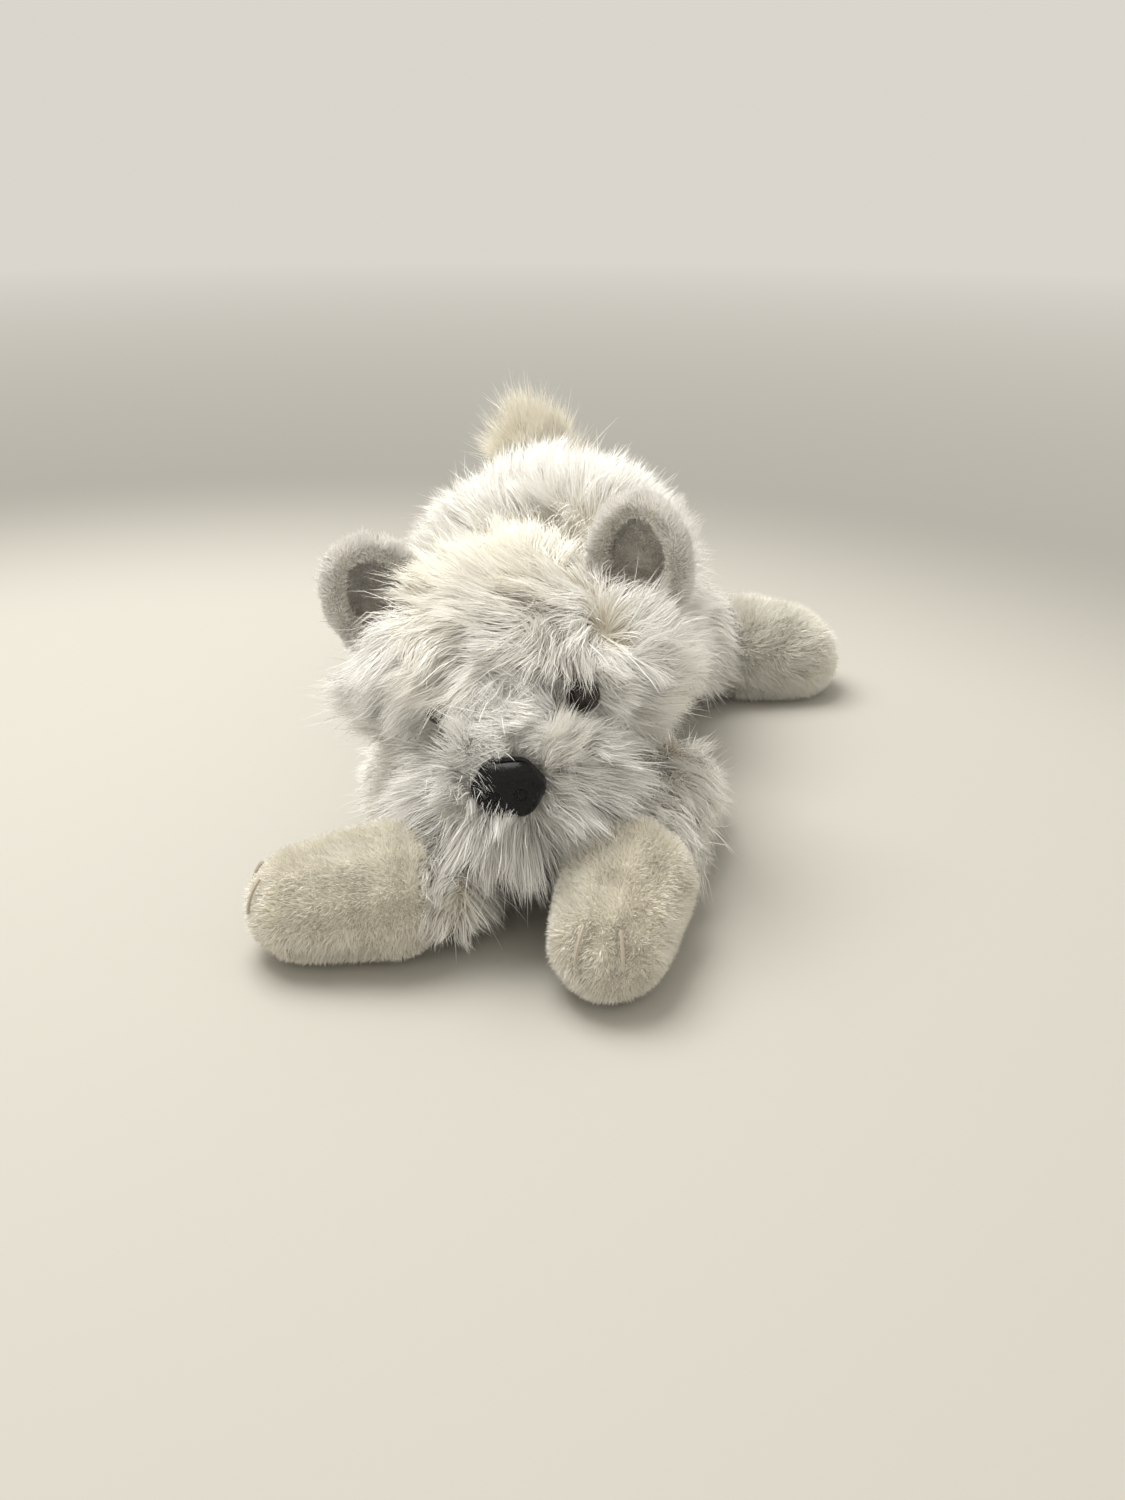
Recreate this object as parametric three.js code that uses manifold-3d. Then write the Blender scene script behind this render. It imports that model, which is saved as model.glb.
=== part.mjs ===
// A plush terrier lying on its belly: sewn covers round stuffing, on joints where the toy is limp.
// Millimetres, +Z up. The dog faces -Y, its own left side is +X, and its belly rests on Z = 0.
import * as THREE from 'three';
import { mergeVertices } from 'three/addons/utils/BufferGeometryUtils.js';
import Module from 'manifold-3d';

const wasm = await Module();
wasm.setup();

// Fabrics: backing and lying pile together, as a wall.
const LONG_PILE = 9;
const SHORT_PILE = 4;
const EAR_FABRIC = 2.6;
const COLLAR_FABRIC = 3;
const POUCH_FABRIC = 1.2;

// Clearances: between pieces that touch, and between bodies that move on each other.
const SEAM_GAP = 0.4;
const MOVING_GAP = 1.2;

// Torso, as three overlapping rounds.
const BARREL = { centre: [0, 28, 55], radii: [60, 84, 61] };
const CHEST = { centre: [0, -44, 24], radii: [42, 40, 27] };
const RUMP = { centre: [0, 86, 48], radii: [58, 40, 50] };
const PANEL_SEAM_HEIGHT = 24;
const POUCH = { centre: [0, 30, 17], radii: [20, 32, 10], mouth: 6 };

// Neck, on which the head turns and nods.
const NECK = [0, -46, 62];
const NECK_RADIUS = 24;
const NECK_OPENING = 12;
const TURN_RANGE = [-25, 25];
const NOD_RANGE = [0, 28];

// Head, measured from the neck in its own turned frame.
const HEAD_YAW = 4;
const HEAD_ROLL = 7;
const SKULL_AHEAD = 6; // of the neck's round
const MUZZLE_AHEAD = 39; // of the skull's middle
const SKULL = { centre: [0, -NECK_RADIUS - SKULL_AHEAD, 15.5], radii: [60, 46, 34.5] };
const MUZZLE = { centre: [0, SKULL.centre[1] - MUZZLE_AHEAD, 2], radii: [29, 30, 22] };
const MUZZLE_SEAM = MUZZLE.centre[1] + 3;
const CHIN_SEAM = 3;

// Nose and eyes, each a moulded head on a shank that a washer locks inside the cover.
const NOSE = { width: 24, height: 18, depth: 9, proud: 7.5, drop: 4 };
const EYE = { radius: 6, spread: 24, height: 14, proud: 1.5 };
const SHANK = { radius: 1.8, end: 3 }; // the end stands out behind the washer
const WASHER = { radius: 6, thickness: 1.6, room: 5 }; // the room is behind the washer, for the shank's end
const MOUTH = { width: 9, drop: 16, curve: 2, thread: 0.7, clear: 1 };

// Ears: cupped flaps that lean outwards, open inwards and fold on a line above the head's backing.
const EAR = { radii: [20, 13, 27], rise: 14, face: -3 };
const EAR_SEAT = { spread: 43, back: 6, height: 29 };
const EAR_TURN = 28;
const EAR_LEAN = { left: 12, right: -26 };
const EAR_RANGE = [-20, 35];

// Forelegs: shoulder, wrist and the direction in which the paw points, from above.
const FORELEG = { shoulderRadius: 20, wristRadius: 18.5 };
const FORE_PAW = { length: 60, heelRadius: 22.5, toeRadius: 19, seam: 3 };
const FORE_RANGE = [-6, 22];
const FORE_LEFT = { side: 1, shoulder: [50, -56, 19], wrist: [46, -124, 19], pointing: -96 };
const FORE_RIGHT = { side: -1, shoulder: [-46, -60, 19], wrist: [-20, -146, 19], pointing: -166 };

// Hind legs: hip, ankle and the direction in which the foot points, from above.
const HINDLEG = { hipRadius: 28, ankleRadius: 20.5 };
const HIND_FOOT = { length: 52, heelRadius: 22, toeRadius: 19, seam: 4 };
const HIND_RANGE = [-12, 15];
const HIND_LEFT = { side: 1, hip: [50, 74, 27], ankle: [74, 84, 20], pointing: 8 };
const HIND_RIGHT = { side: -1, hip: [-50, 76, 27], ankle: [-62, 92, 20], pointing: 147 };

const PAW_REST = 1; // how deep the flat that a paw rests on lies in its round
const TOE_THREAD = { radius: 0.6, spread: 22, low: 5, high: 42 };

// Tail: a short upright stuffed tuft.
const TAIL = { root: [-8, 113, 80], rootRadius: 15, tip: [-24, 118, 108], tipRadius: 12 };
const TAIL_MOUTH = 1; // how far the filling's round end reaches past the cover's opening
const TAIL_RANGE = [-25, 25];

const ROUND = 12; // segments round each body
const BALL_RINGS = 7;
const LIMB_ROUND = 10;
const END_STEPS = 3; // of each round end of a limb
const ROD_ROUND = 10;
const THREAD_STEPS = { mouth: 8, toe: 6 };
const THREAD_CORNERS = 2; // steps in each quarter of a thread's round
const FLATS = 1 / Math.cos(Math.PI / ROUND); // keeps a room's flats outside the round it holds
const FAR = 800; // reach of a cutting block
const OVERCUT = 1; // how far a bore starts before the face it cuts
const ROOM_FOOT = 5; // how far a cut runs on below the floor

// The proportions and middle, from the joint, of the room that the torso leaves for head and tail.
const HEAD_ROOM = { middle: [0, -26, 24], shape: [78, 56, 52] };
const TAIL_ROOM = { middle: [-4, 2, 20], shape: [32, 19, 36] };

// Geometry helpers

// A closed three.js geometry as a solid that can be joined and cut.
function solid(geometry) {
  const bare = geometry.clone();
  bare.deleteAttribute('normal');
  bare.deleteAttribute('uv');
  const merged = mergeVertices(bare, 1e-4);
  const vertProperties = new Float32Array(merged.attributes.position.array);
  const triVerts = new Uint32Array(merged.index.array);
  return new wasm.Manifold(new wasm.Mesh({ numProp: 3, vertProperties, triVerts }));
}

function geometryOf(body) {
  const { vertProperties, triVerts, numProp } = body.getMesh();
  const geometry = new THREE.BufferGeometry();
  const positions = [];
  for (let i = 0; i < vertProperties.length; i += numProp) {
    positions.push(vertProperties[i], vertProperties[i + 1], vertProperties[i + 2]);
  }
  geometry.setAttribute('position', new THREE.Float32BufferAttribute(positions, 3));
  geometry.setIndex([...triVerts]);
  const facets = geometry.toNonIndexed();
  facets.computeVertexNormals();
  return facets;
}

function union(bodies) {
  return bodies.reduce((whole, body) => whole.add(body));
}

function moved(body, matrix) {
  return body.transform(matrix.elements);
}

// An ellipsoid with its wall stripped by inset, or grown where inset is negative.
function ellipsoid({ centre, radii }, inset = 0) {
  const ball = new THREE.SphereGeometry(1, ROUND, BALL_RINGS);
  ball.rotateX(Math.PI / 2);
  ball.scale(...radii.map((radius) => radius - inset));
  ball.translate(...centre);
  return solid(ball);
}

function sphere(centre, radius) {
  return ellipsoid({ centre, radii: [radius, radius, radius] });
}

// A limb: a lathed pod with a round end at each point.
function pod(start, startRadius, end, endRadius, inset) {
  const from = new THREE.Vector3(...start);
  const to = new THREE.Vector3(...end);
  const length = from.distanceTo(to);
  const profile = [];
  for (let i = 0; i <= END_STEPS; i += 1) {
    const angle = -Math.PI / 2 + (i / END_STEPS) * (Math.PI / 2);
    const radius = startRadius - inset;
    profile.push(new THREE.Vector2(Math.cos(angle) * radius, Math.sin(angle) * radius));
  }
  for (let i = 0; i <= END_STEPS; i += 1) {
    const angle = (i / END_STEPS) * (Math.PI / 2);
    const radius = endRadius - inset;
    profile.push(new THREE.Vector2(Math.cos(angle) * radius, length + Math.sin(angle) * radius));
  }
  profile[0].x = 0;
  profile[profile.length - 1].x = 0;
  const body = new THREE.LatheGeometry(profile, LIMB_ROUND);
  const turn = new THREE.Quaternion().setFromUnitVectors(
    new THREE.Vector3(0, 1, 0),
    to.clone().sub(from).normalize(),
  );
  body.applyQuaternion(turn);
  body.translate(...start);
  return solid(body);
}

// Everything beyond a plane through point, on the side that normal points to.
function beyond(point, normal) {
  const block = new THREE.BoxGeometry(FAR, FAR, FAR);
  block.translate(0, 0, FAR / 2);
  const turn = new THREE.Quaternion().setFromUnitVectors(
    new THREE.Vector3(0, 0, 1),
    new THREE.Vector3(...normal).normalize(),
  );
  block.applyQuaternion(turn);
  block.translate(...point);
  return solid(block);
}

function below(height) {
  return beyond([0, 0, height], [0, 0, -1]);
}

// A round rod along Y from the given point.
function rod([x, y, z], radius, length) {
  const bar = new THREE.CylinderGeometry(radius, radius, length, ROD_ROUND);
  bar.translate(x, y + length / 2, z);
  return solid(bar);
}

function turnAbout(point, axis, degrees) {
  const [x, y, z] = point;
  const direction = new THREE.Vector3(...axis).normalize();
  return new THREE.Matrix4()
    .makeTranslation(x, y, z)
    .multiply(new THREE.Matrix4().makeRotationAxis(direction, THREE.MathUtils.degToRad(degrees)))
    .multiply(new THREE.Matrix4().makeTranslation(-x, -y, -z));
}

// The space a body passes through as it turns over a range, with even stops on the way.
function swept(body, point, axis, [low, high], stops = 4) {
  const places = [];
  for (let i = 0; i <= stops; i += 1) {
    places.push(moved(body, turnAbout(point, axis, low + ((high - low) * i) / stops)));
  }
  return union(places);
}

// Materials

const FABRICS = {
  longPile: { color: 0xe8e5da, roughness: 0.95 },
  shortPile: { color: 0xd9d3bf, roughness: 0.95 },
  earLining: { color: 0xcfc4b4, roughness: 0.95 },
  gusset: { color: 0xe2ded2, roughness: 0.95 },
  fibre: { color: 0xf4f4f2, roughness: 1 },
  pouch: { color: 0xf0efe9, roughness: 0.9 },
  pellets: { color: 0xdcdcd6, roughness: 0.5 },
  plastic: { color: 0x141416, roughness: 0.25 },
  washer: { color: 0xe6e6e0, roughness: 0.5 },
  thread: { color: 0x9c7a68, roughness: 0.8 },
};

function piece(name, body, finish) {
  const material = new THREE.MeshStandardMaterial({ ...FABRICS[finish], metalness: 0 });
  const mesh = new THREE.Mesh(geometryOf(body), material);
  mesh.name = name;
  return mesh;
}

// Limbs: each shape is a function of its inset, so covers, linings and stuffing nest.

function direction(degrees) {
  const angle = THREE.MathUtils.degToRad(degrees);
  return [Math.cos(angle), Math.sin(angle), 0];
}

// A leg: a pod from root to joint, then a paw, high at the heel and low at the toes, that points its own
// way from the seam and rests on a flat a little below its round.
function limbOf({ root, rootRadius, joint, jointRadius, paw, pointing }) {
  const ahead = direction(pointing);
  const at = (reach, radius) => [
    joint[0] + ahead[0] * reach,
    joint[1] + ahead[1] * reach,
    radius - PAW_REST,
  ];
  const heel = at(paw.heelRadius / 2, paw.heelRadius);
  const toe = at(paw.length - paw.toeRadius, paw.toeRadius);
  const floor = (inset) => below(Math.max(inset, 0));
  const upper = (inset) =>
    pod(root, rootRadius, joint, jointRadius, inset).subtract(floor(inset));
  const lower = (inset) =>
    pod(heel, paw.heelRadius, toe, paw.toeRadius, inset).subtract(floor(inset));
  const whole = (inset) => upper(inset).add(lower(inset));
  const behind = ahead.map((value) => -value);
  const pawBeyond = (inset, offset) => {
    const seam = joint.map((value, i) => value + ahead[i] * (paw.seam + offset));
    return lower(inset).subtract(beyond(seam, behind));
  };
  return { root, rootRadius, joint, ahead, whole, pawBeyond, lower, paw, toe };
}

const foreLimb = (leg) =>
  limbOf({
    root: leg.shoulder,
    rootRadius: FORELEG.shoulderRadius,
    joint: leg.wrist,
    jointRadius: FORELEG.wristRadius,
    paw: FORE_PAW,
    pointing: leg.pointing,
  });
const hindLimb = (leg) =>
  limbOf({
    root: leg.hip,
    rootRadius: HINDLEG.hipRadius,
    joint: leg.ankle,
    jointRadius: HINDLEG.ankleRadius,
    paw: HIND_FOOT,
    pointing: leg.pointing,
  });

const LIMBS = [
  { name: 'foreleg_left', limb: foreLimb(FORE_LEFT), range: FORE_RANGE, side: FORE_LEFT.side },
  { name: 'foreleg_right', limb: foreLimb(FORE_RIGHT), range: FORE_RANGE, side: FORE_RIGHT.side },
  { name: 'hindleg_left', limb: hindLimb(HIND_LEFT), range: HIND_RANGE, side: HIND_LEFT.side },
  { name: 'hindleg_right', limb: hindLimb(HIND_RIGHT), range: HIND_RANGE, side: HIND_RIGHT.side },
];

// A toe stitch runs up the front of the toes on one side, just clear of the pile.
function toeThread({ toe, paw, ahead }, side) {
  const away = paw.toeRadius + TOE_THREAD.radius + SEAM_GAP;
  const pointing = Math.atan2(ahead[1], ahead[0]) + THREE.MathUtils.degToRad(TOE_THREAD.spread * side);
  const steps = THREAD_STEPS.toe;
  const points = [];
  for (let i = 0; i <= steps; i += 1) {
    const rise = THREE.MathUtils.degToRad(
      TOE_THREAD.low + ((TOE_THREAD.high - TOE_THREAD.low) * i) / steps,
    );
    const level = Math.cos(rise) * away;
    points.push(
      new THREE.Vector3(
        toe[0] + Math.cos(pointing) * level,
        toe[1] + Math.sin(pointing) * level,
        toe[2] + Math.sin(rise) * away,
      ),
    );
  }
  return thread(points, TOE_THREAD.radius, steps);
}

// A round thread along points, closed at both ends.
function thread(points, radius, steps) {
  const section = new THREE.Shape();
  section.absarc(0, 0, radius, 0, Math.PI * 2);
  const extrudePath = new THREE.CatmullRomCurve3(points);
  const settings = { steps, curveSegments: THREAD_CORNERS, bevelEnabled: false, extrudePath };
  return solid(new THREE.ExtrudeGeometry(section, settings));
}

function limbPieces({ name, limb }) {
  const { whole, pawBeyond, lower } = limb;
  const pawName = name.startsWith('fore') ? 'paw' : 'foot';
  const pawSpace = pawBeyond(-SEAM_GAP, -SEAM_GAP / 2);
  const sleeve = whole(0).subtract(whole(LONG_PILE)).subtract(pawSpace);
  const pawCover = pawBeyond(0, SEAM_GAP / 2).subtract(lower(SHORT_PILE));
  const stuffing = whole(LONG_PILE + SEAM_GAP).subtract(pawSpace);
  const bag = pawBeyond(SHORT_PILE + SEAM_GAP, SEAM_GAP / 2);
  return [
    piece(`${name}_sleeve`, sleeve, 'longPile'),
    piece(`${name}_${pawName}_cover`, pawCover, 'shortPile'),
    piece(`${name}_stuffing`, stuffing, 'fibre'),
    piece(`${name}_pellet_bag`, bag, 'pouch'),
    piece(`${name}_toe_thread_left`, toeThread(limb, 1), 'thread'),
    piece(`${name}_toe_thread_right`, toeThread(limb, -1), 'thread'),
  ];
}

// Tail

function tailShape(inset) {
  return pod(TAIL.root, TAIL.rootRadius, TAIL.tip, TAIL.tipRadius, inset);
}

function tailPieces() {
  const up = TAIL.tip.map((value, i) => value - TAIL.root[i]);
  const length = Math.hypot(...up);
  const opening = TAIL.rootRadius - LONG_PILE - TAIL_MOUTH;
  const mouth = TAIL.root.map((value, i) => value - (up[i] / length) * opening);
  const down = up.map((value) => -value);
  const open = beyond(mouth, down);
  return [
    piece('tail_cover', tailShape(0).subtract(tailShape(LONG_PILE)).subtract(open), 'longPile'),
    piece('tail_stuffing', tailShape(LONG_PILE + SEAM_GAP).subtract(open), 'fibre'),
  ];
}

// Head, in its own frame with the neck at the origin.

const headFrame = new THREE.Matrix4()
  .makeTranslation(...NECK)
  .multiply(new THREE.Matrix4().makeRotationZ(THREE.MathUtils.degToRad(HEAD_YAW)))
  .multiply(new THREE.Matrix4().makeRotationY(THREE.MathUtils.degToRad(-HEAD_ROLL)));

function headShape(inset) {
  return ellipsoid(SKULL, inset)
    .add(ellipsoid(MUZZLE, inset))
    .subtract(sphere([0, 0, 0], NECK_RADIUS * FLATS + MOVING_GAP + inset));
}

// The point of the muzzle's front, from which the nose stands.
const noseFlat = Math.sqrt(1 - (NOSE.drop / MUZZLE.radii[2]) ** 2);
const noseSeat = [0, MUZZLE.centre[1] - MUZZLE.radii[1] * noseFlat, MUZZLE.centre[2] - NOSE.drop];

const noseCentre = [noseSeat[0], noseSeat[1] + NOSE.depth - NOSE.proud, noseSeat[2]];

function noseShape(grow = 0) {
  const half = [NOSE.width / 2 + grow, NOSE.depth + grow, NOSE.height / 2 + grow];
  const back = [0, noseCentre[1] + grow, 0];
  return ellipsoid({ centre: noseCentre, radii: half }).subtract(beyond(back, [0, 1, 0]));
}

// The shank runs back through the cover, and the washer sits just behind it.
function shankAndWasher([x, y, z], cover) {
  const behind = y + cover + SEAM_GAP;
  const length = cover + WASHER.thickness + SHANK.end;
  const bore = rod([x, y - OVERCUT, z], SHANK.radius + SEAM_GAP, length + OVERCUT + SEAM_GAP);
  const ring = rod([x, behind, z], WASHER.radius, WASHER.thickness).subtract(bore);
  const shank = rod([x, y, z], SHANK.radius, length);
  const roomRadius = WASHER.radius + 2 * SEAM_GAP;
  const roomLength = WASHER.thickness + WASHER.room;
  const seat = rod([x, behind - SEAM_GAP, z], roomRadius, roomLength);
  const room = rod([x, behind - WASHER.radius, z], roomRadius, WASHER.radius + roomLength);
  return { ring, shank, seat, room, bore };
}

// How far forward the face stands at a place beside and above the neck.
function faceFront(x, z, inset = 0) {
  const fronts = [SKULL, MUZZLE].map(({ centre, radii }) => {
    const [rx, ry, rz] = radii.map((radius) => radius - inset);
    const across = ((x - centre[0]) / rx) ** 2 + ((z - centre[2]) / rz) ** 2;
    return across < 1 ? centre[1] - ry * Math.sqrt(1 - across) : 0;
  });
  return Math.min(...fronts);
}

function eyeParts(side) {
  const x = side * EYE.spread;
  const front = faceFront(x, EYE.height);
  const centre = [x, front + EYE.radius - EYE.proud, EYE.height];
  const coverBehind = faceFront(x, EYE.height, LONG_PILE) - centre[1];
  const fixing = shankAndWasher(centre, coverBehind + 1);
  const dome = sphere(centre, EYE.radius).subtract(beyond([0, centre[1] + 1, 0], [0, 1, 0]));
  const socket = sphere(centre, EYE.radius + SEAM_GAP);
  return { dome: dome.add(fixing.shank), socket, fixing };
}

// An ear, standing on its fold line at the origin of its own frame.
function earShape(inset) {
  return ellipsoid({ centre: [0, 0, EAR.rise], radii: EAR.radii }, inset);
}

function earFrame(side, lean) {
  return new THREE.Matrix4()
    .makeTranslation(EAR_SEAT.spread * side, SKULL.centre[1] + EAR_SEAT.back, EAR_SEAT.height)
    .multiply(new THREE.Matrix4().makeRotationZ(THREE.MathUtils.degToRad(-EAR_TURN * side)))
    .multiply(new THREE.Matrix4().makeRotationY(THREE.MathUtils.degToRad(lean)));
}

// A block round the ear, turned through its fold, is the pocket that the head's cover leaves.
function earRoom(frame) {
  const [width, depth, height] = EAR.radii;
  const back = depth + MOVING_GAP;
  const front = EAR.face - MOVING_GAP;
  const block = new THREE.BoxGeometry(2 * (width + MOVING_GAP), back - front, 2 * (height + MOVING_GAP));
  block.translate(0, (back + front) / 2, EAR.rise);
  return moved(swept(solid(block), [0, 0, 0], [1, 0, 0], EAR_RANGE, 3), frame);
}

function earPieces(name, frame) {
  const front = beyond([0, EAR.face, 0], [0, -1, 0]);
  const lined = EAR_FABRIC + SEAM_GAP;
  const back = earShape(0).subtract(earShape(EAR_FABRIC)).subtract(front);
  const lining = earShape(lined).subtract(earShape(lined + EAR_FABRIC)).subtract(front);
  return [
    piece(`${name}_back`, moved(back, frame), 'shortPile'),
    piece(`${name}_lining`, moved(lining, frame), 'earLining'),
  ];
}

function headPieces() {
  const eyes = { left: eyeParts(1), right: eyeParts(-1) };
  const coverBehindNose = noseSeat[1] + LONG_PILE - noseCentre[1];
  const noseFixing = shankAndWasher(noseCentre, coverBehindNose + 1);
  const earFrames = { left: earFrame(1, EAR_LEAN.left), right: earFrame(-1, EAR_LEAN.right) };
  const ears = earRoom(earFrames.left).add(earRoom(earFrames.right));

  const fixings = [eyes.left, eyes.right];
  const sockets = union([
    ...fixings.map((eye) => eye.socket),
    ...fixings.map((eye) => eye.fixing.bore),
    noseShape(SEAM_GAP),
    noseFixing.bore,
    ears,
  ]);
  const seats = union([...fixings.map((eye) => eye.fixing.seat), noseFixing.seat]);
  const rooms = union([...fixings.map((eye) => eye.fixing.room), noseFixing.room]);
  const shell = headShape(0).subtract(headShape(LONG_PILE)).subtract(sockets).subtract(seats);
  const crownSide = shell.subtract(beyond([0, MUZZLE_SEAM + SEAM_GAP / 2, 0], [0, -1, 0]));
  const crown = crownSide.subtract(below(CHIN_SEAM + SEAM_GAP / 2));
  const chin = crownSide.subtract(beyond([0, 0, CHIN_SEAM - SEAM_GAP / 2], [0, 0, 1]));
  const muzzle = shell.subtract(beyond([0, MUZZLE_SEAM - SEAM_GAP / 2, 0], [0, 1, 0]));
  const filling = headShape(LONG_PILE + SEAM_GAP).subtract(rooms).subtract(sockets);
  const headFilling = filling.subtract(beyond([0, MUZZLE_SEAM + SEAM_GAP / 2, 0], [0, -1, 0]));
  const muzzleFilling = filling.subtract(beyond([0, MUZZLE_SEAM - SEAM_GAP / 2, 0], [0, 1, 0]));

  const mouth = [];
  for (let i = 0; i <= THREAD_STEPS.mouth; i += 1) {
    const x = MOUTH.width * (i / THREAD_STEPS.mouth - 0.5);
    const sag = MOUTH.curve * (1 - Math.cos((x / MOUTH.width) * Math.PI));
    const z = MUZZLE.centre[2] - MOUTH.drop + sag;
    const across = (x / MUZZLE.radii[0]) ** 2 + ((z - MUZZLE.centre[2]) / MUZZLE.radii[2]) ** 2;
    const front = MUZZLE.centre[1] - MUZZLE.radii[1] * Math.sqrt(1 - across);
    mouth.push(new THREE.Vector3(x, front - MOUTH.thread - MOUTH.clear, z));
  }

  return [
    piece('head_crown_cover', crown, 'longPile'),
    piece('head_chin_cover', chin, 'longPile'),
    piece('muzzle_cover', muzzle, 'longPile'),
    piece('head_stuffing', headFilling, 'fibre'),
    piece('muzzle_stuffing', muzzleFilling, 'fibre'),
    piece('nose', noseShape().add(noseFixing.shank), 'plastic'),
    piece('nose_washer', noseFixing.ring, 'washer'),
    piece('eye_left', eyes.left.dome, 'plastic'),
    piece('eye_right', eyes.right.dome, 'plastic'),
    piece('eye_left_washer', eyes.left.fixing.ring, 'washer'),
    piece('eye_right_washer', eyes.right.fixing.ring, 'washer'),
    piece('mouth_thread', thread(mouth, MOUTH.thread, THREAD_STEPS.mouth), 'thread'),
    ...earPieces('ear_left', earFrames.left),
    ...earPieces('ear_right', earFrames.right),
  ];
}

// Neck

function neckPieces() {
  const ball = (inset) => sphere(NECK, NECK_RADIUS - inset);
  const [x, y, z] = NECK;
  const openings = beyond([x, y - NECK_OPENING, z], [0, -1, 0]).add(
    beyond([x, y + NECK_OPENING, z], [0, 1, 0]),
  );
  return [
    piece('neck_collar', ball(0).subtract(ball(COLLAR_FABRIC)).subtract(openings), 'gusset'),
    piece('neck_stuffing', ball(COLLAR_FABRIC + SEAM_GAP), 'fibre'),
  ];
}

// Torso, with room for every body that moves on it.

const nodAxis = direction(HEAD_YAW).map((value) => -value);

// The space in which a leg swings: an upright fan round its root, as high as the leg.
function fanRoom({ root, rootRadius, joint }, [low, high], side, inset) {
  const [x, y] = root;
  const radius = rootRadius + MOVING_GAP + inset;
  const rest = Math.atan2(joint[1] - y, joint[0] - x);
  const ends = [low, high].map((value) => rest + THREE.MathUtils.degToRad(value * side));
  const [first, last] = ends.sort((a, b) => a - b);
  const quarter = Math.PI / 2;
  const far = FAR / 4;
  const at = (angle, away, aside, turn) => [
    x + Math.cos(angle) * away + Math.cos(angle + turn) * aside,
    y + Math.sin(angle) * away + Math.sin(angle + turn) * aside,
  ];
  const outline = new THREE.Shape();
  outline.moveTo(...at(first, far, radius, -quarter));
  outline.lineTo(...at(first, 0, radius, -quarter));
  outline.absarc(x, y, radius, first - quarter, last + quarter - 2 * Math.PI, true);
  outline.lineTo(...at(last, far, radius, quarter));
  const depth = root[2] + rootRadius + MOVING_GAP + inset + ROOM_FOOT;
  const fan = new THREE.ExtrudeGeometry(outline, { depth, curveSegments: 8, bevelEnabled: false });
  fan.translate(0, 0, -ROOM_FOOT);
  return solid(fan);
}

// The corners of a body at every place it turns to, as points.
function placesOf(body, turns) {
  const { vertProperties } = body.getMesh();
  const points = [];
  turns.forEach((turn) => {
    for (let i = 0; i < vertProperties.length; i += 3) {
      const point = new THREE.Vector3().fromArray(vertProperties, i);
      points.push(point.applyMatrix4(turn));
    }
  });
  return points;
}

// A round of the given proportions, grown until it holds all the points with room to spare.
function roundOver(points, centre, radii, room) {
  const stretch = Math.max(
    ...points.map((point) => Math.hypot(...point.toArray().map((v, i) => (v - centre[i]) / radii[i]))),
  );
  return ellipsoid({ centre, radii: radii.map((radius) => radius * stretch * FLATS ** 2 + room) });
}

const headTurns = NOD_RANGE.flatMap((nod) =>
  [TURN_RANGE[0], 0, TURN_RANGE[1]].map((turn) =>
    turnAbout(NECK, [0, 0, 1], turn).multiply(turnAbout(NECK, nodAxis, nod)),
  ),
);
const tailTurns = [TAIL_RANGE[0], 0, TAIL_RANGE[1]].map((wag) => turnAbout(TAIL.root, [0, 1, 0], wag));

function movingRoom(inset) {
  const room = MOVING_GAP + inset;
  const skull = placesOf(moved(ellipsoid(SKULL), headFrame), headTurns);
  const skullMiddle = NECK.map((value, i) => value + HEAD_ROOM.middle[i]);
  const tail = placesOf(tailShape(0), tailTurns);
  const tailMiddle = TAIL.root.map((value, i) => value + TAIL_ROOM.middle[i]);
  const rooms = [
    roundOver(skull, skullMiddle, HEAD_ROOM.shape, room),
    roundOver(tail, tailMiddle, TAIL_ROOM.shape, room),
    sphere(NECK, NECK_RADIUS * FLATS + room),
  ];
  LIMBS.forEach(({ limb, range, side }) => rooms.push(fanRoom(limb, range, side, inset)));
  return union(rooms);
}

function torsoShape(inset) {
  return union([ellipsoid(BARREL, inset), ellipsoid(CHEST, inset), ellipsoid(RUMP, inset)])
    .subtract(movingRoom(inset))
    .subtract(below(inset));
}

function torsoPieces() {
  const shell = torsoShape(0).subtract(torsoShape(LONG_PILE));
  const seamAbove = below(PANEL_SEAM_HEIGHT + SEAM_GAP / 2);
  const seamBelow = beyond([0, 0, PANEL_SEAM_HEIGHT - SEAM_GAP / 2], [0, 0, 1]);
  const pouch = (inset) => ellipsoid(POUCH, inset).subtract(below(LONG_PILE + SEAM_GAP + inset));
  const pouchMouth = beyond([0, POUCH.centre[1] + POUCH.radii[1] - POUCH.mouth, 0], [0, 1, 0]);
  const pouchRoom = ellipsoid(POUCH, -SEAM_GAP);
  return [
    piece('back_panel', shell.subtract(seamAbove), 'longPile'),
    piece('belly_panel', shell.subtract(seamBelow), 'longPile'),
    piece('torso_stuffing', torsoShape(LONG_PILE + SEAM_GAP).subtract(pouchRoom), 'fibre'),
    piece('belly_pouch', pouch(0).subtract(pouch(POUCH_FABRIC)).subtract(pouchMouth), 'pouch'),
    piece('belly_pellets', pouch(POUCH_FABRIC + SEAM_GAP).subtract(pouchMouth), 'pellets'),
  ];
}

// Assembly

const dog = new THREE.Group();

const head = new THREE.Group();
head.applyMatrix4(headFrame);
head.add(...headPieces());

dog.add(...torsoPieces());
dog.add(...neckPieces());
dog.add(head);
LIMBS.forEach((leg) => dog.add(...limbPieces(leg)));
dog.add(...tailPieces());

export default dog;
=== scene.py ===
import math

import bmesh
import bpy
import numpy as np
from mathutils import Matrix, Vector
from mathutils.bvhtree import BVHTree
from mathutils.kdtree import KDTree


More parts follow.
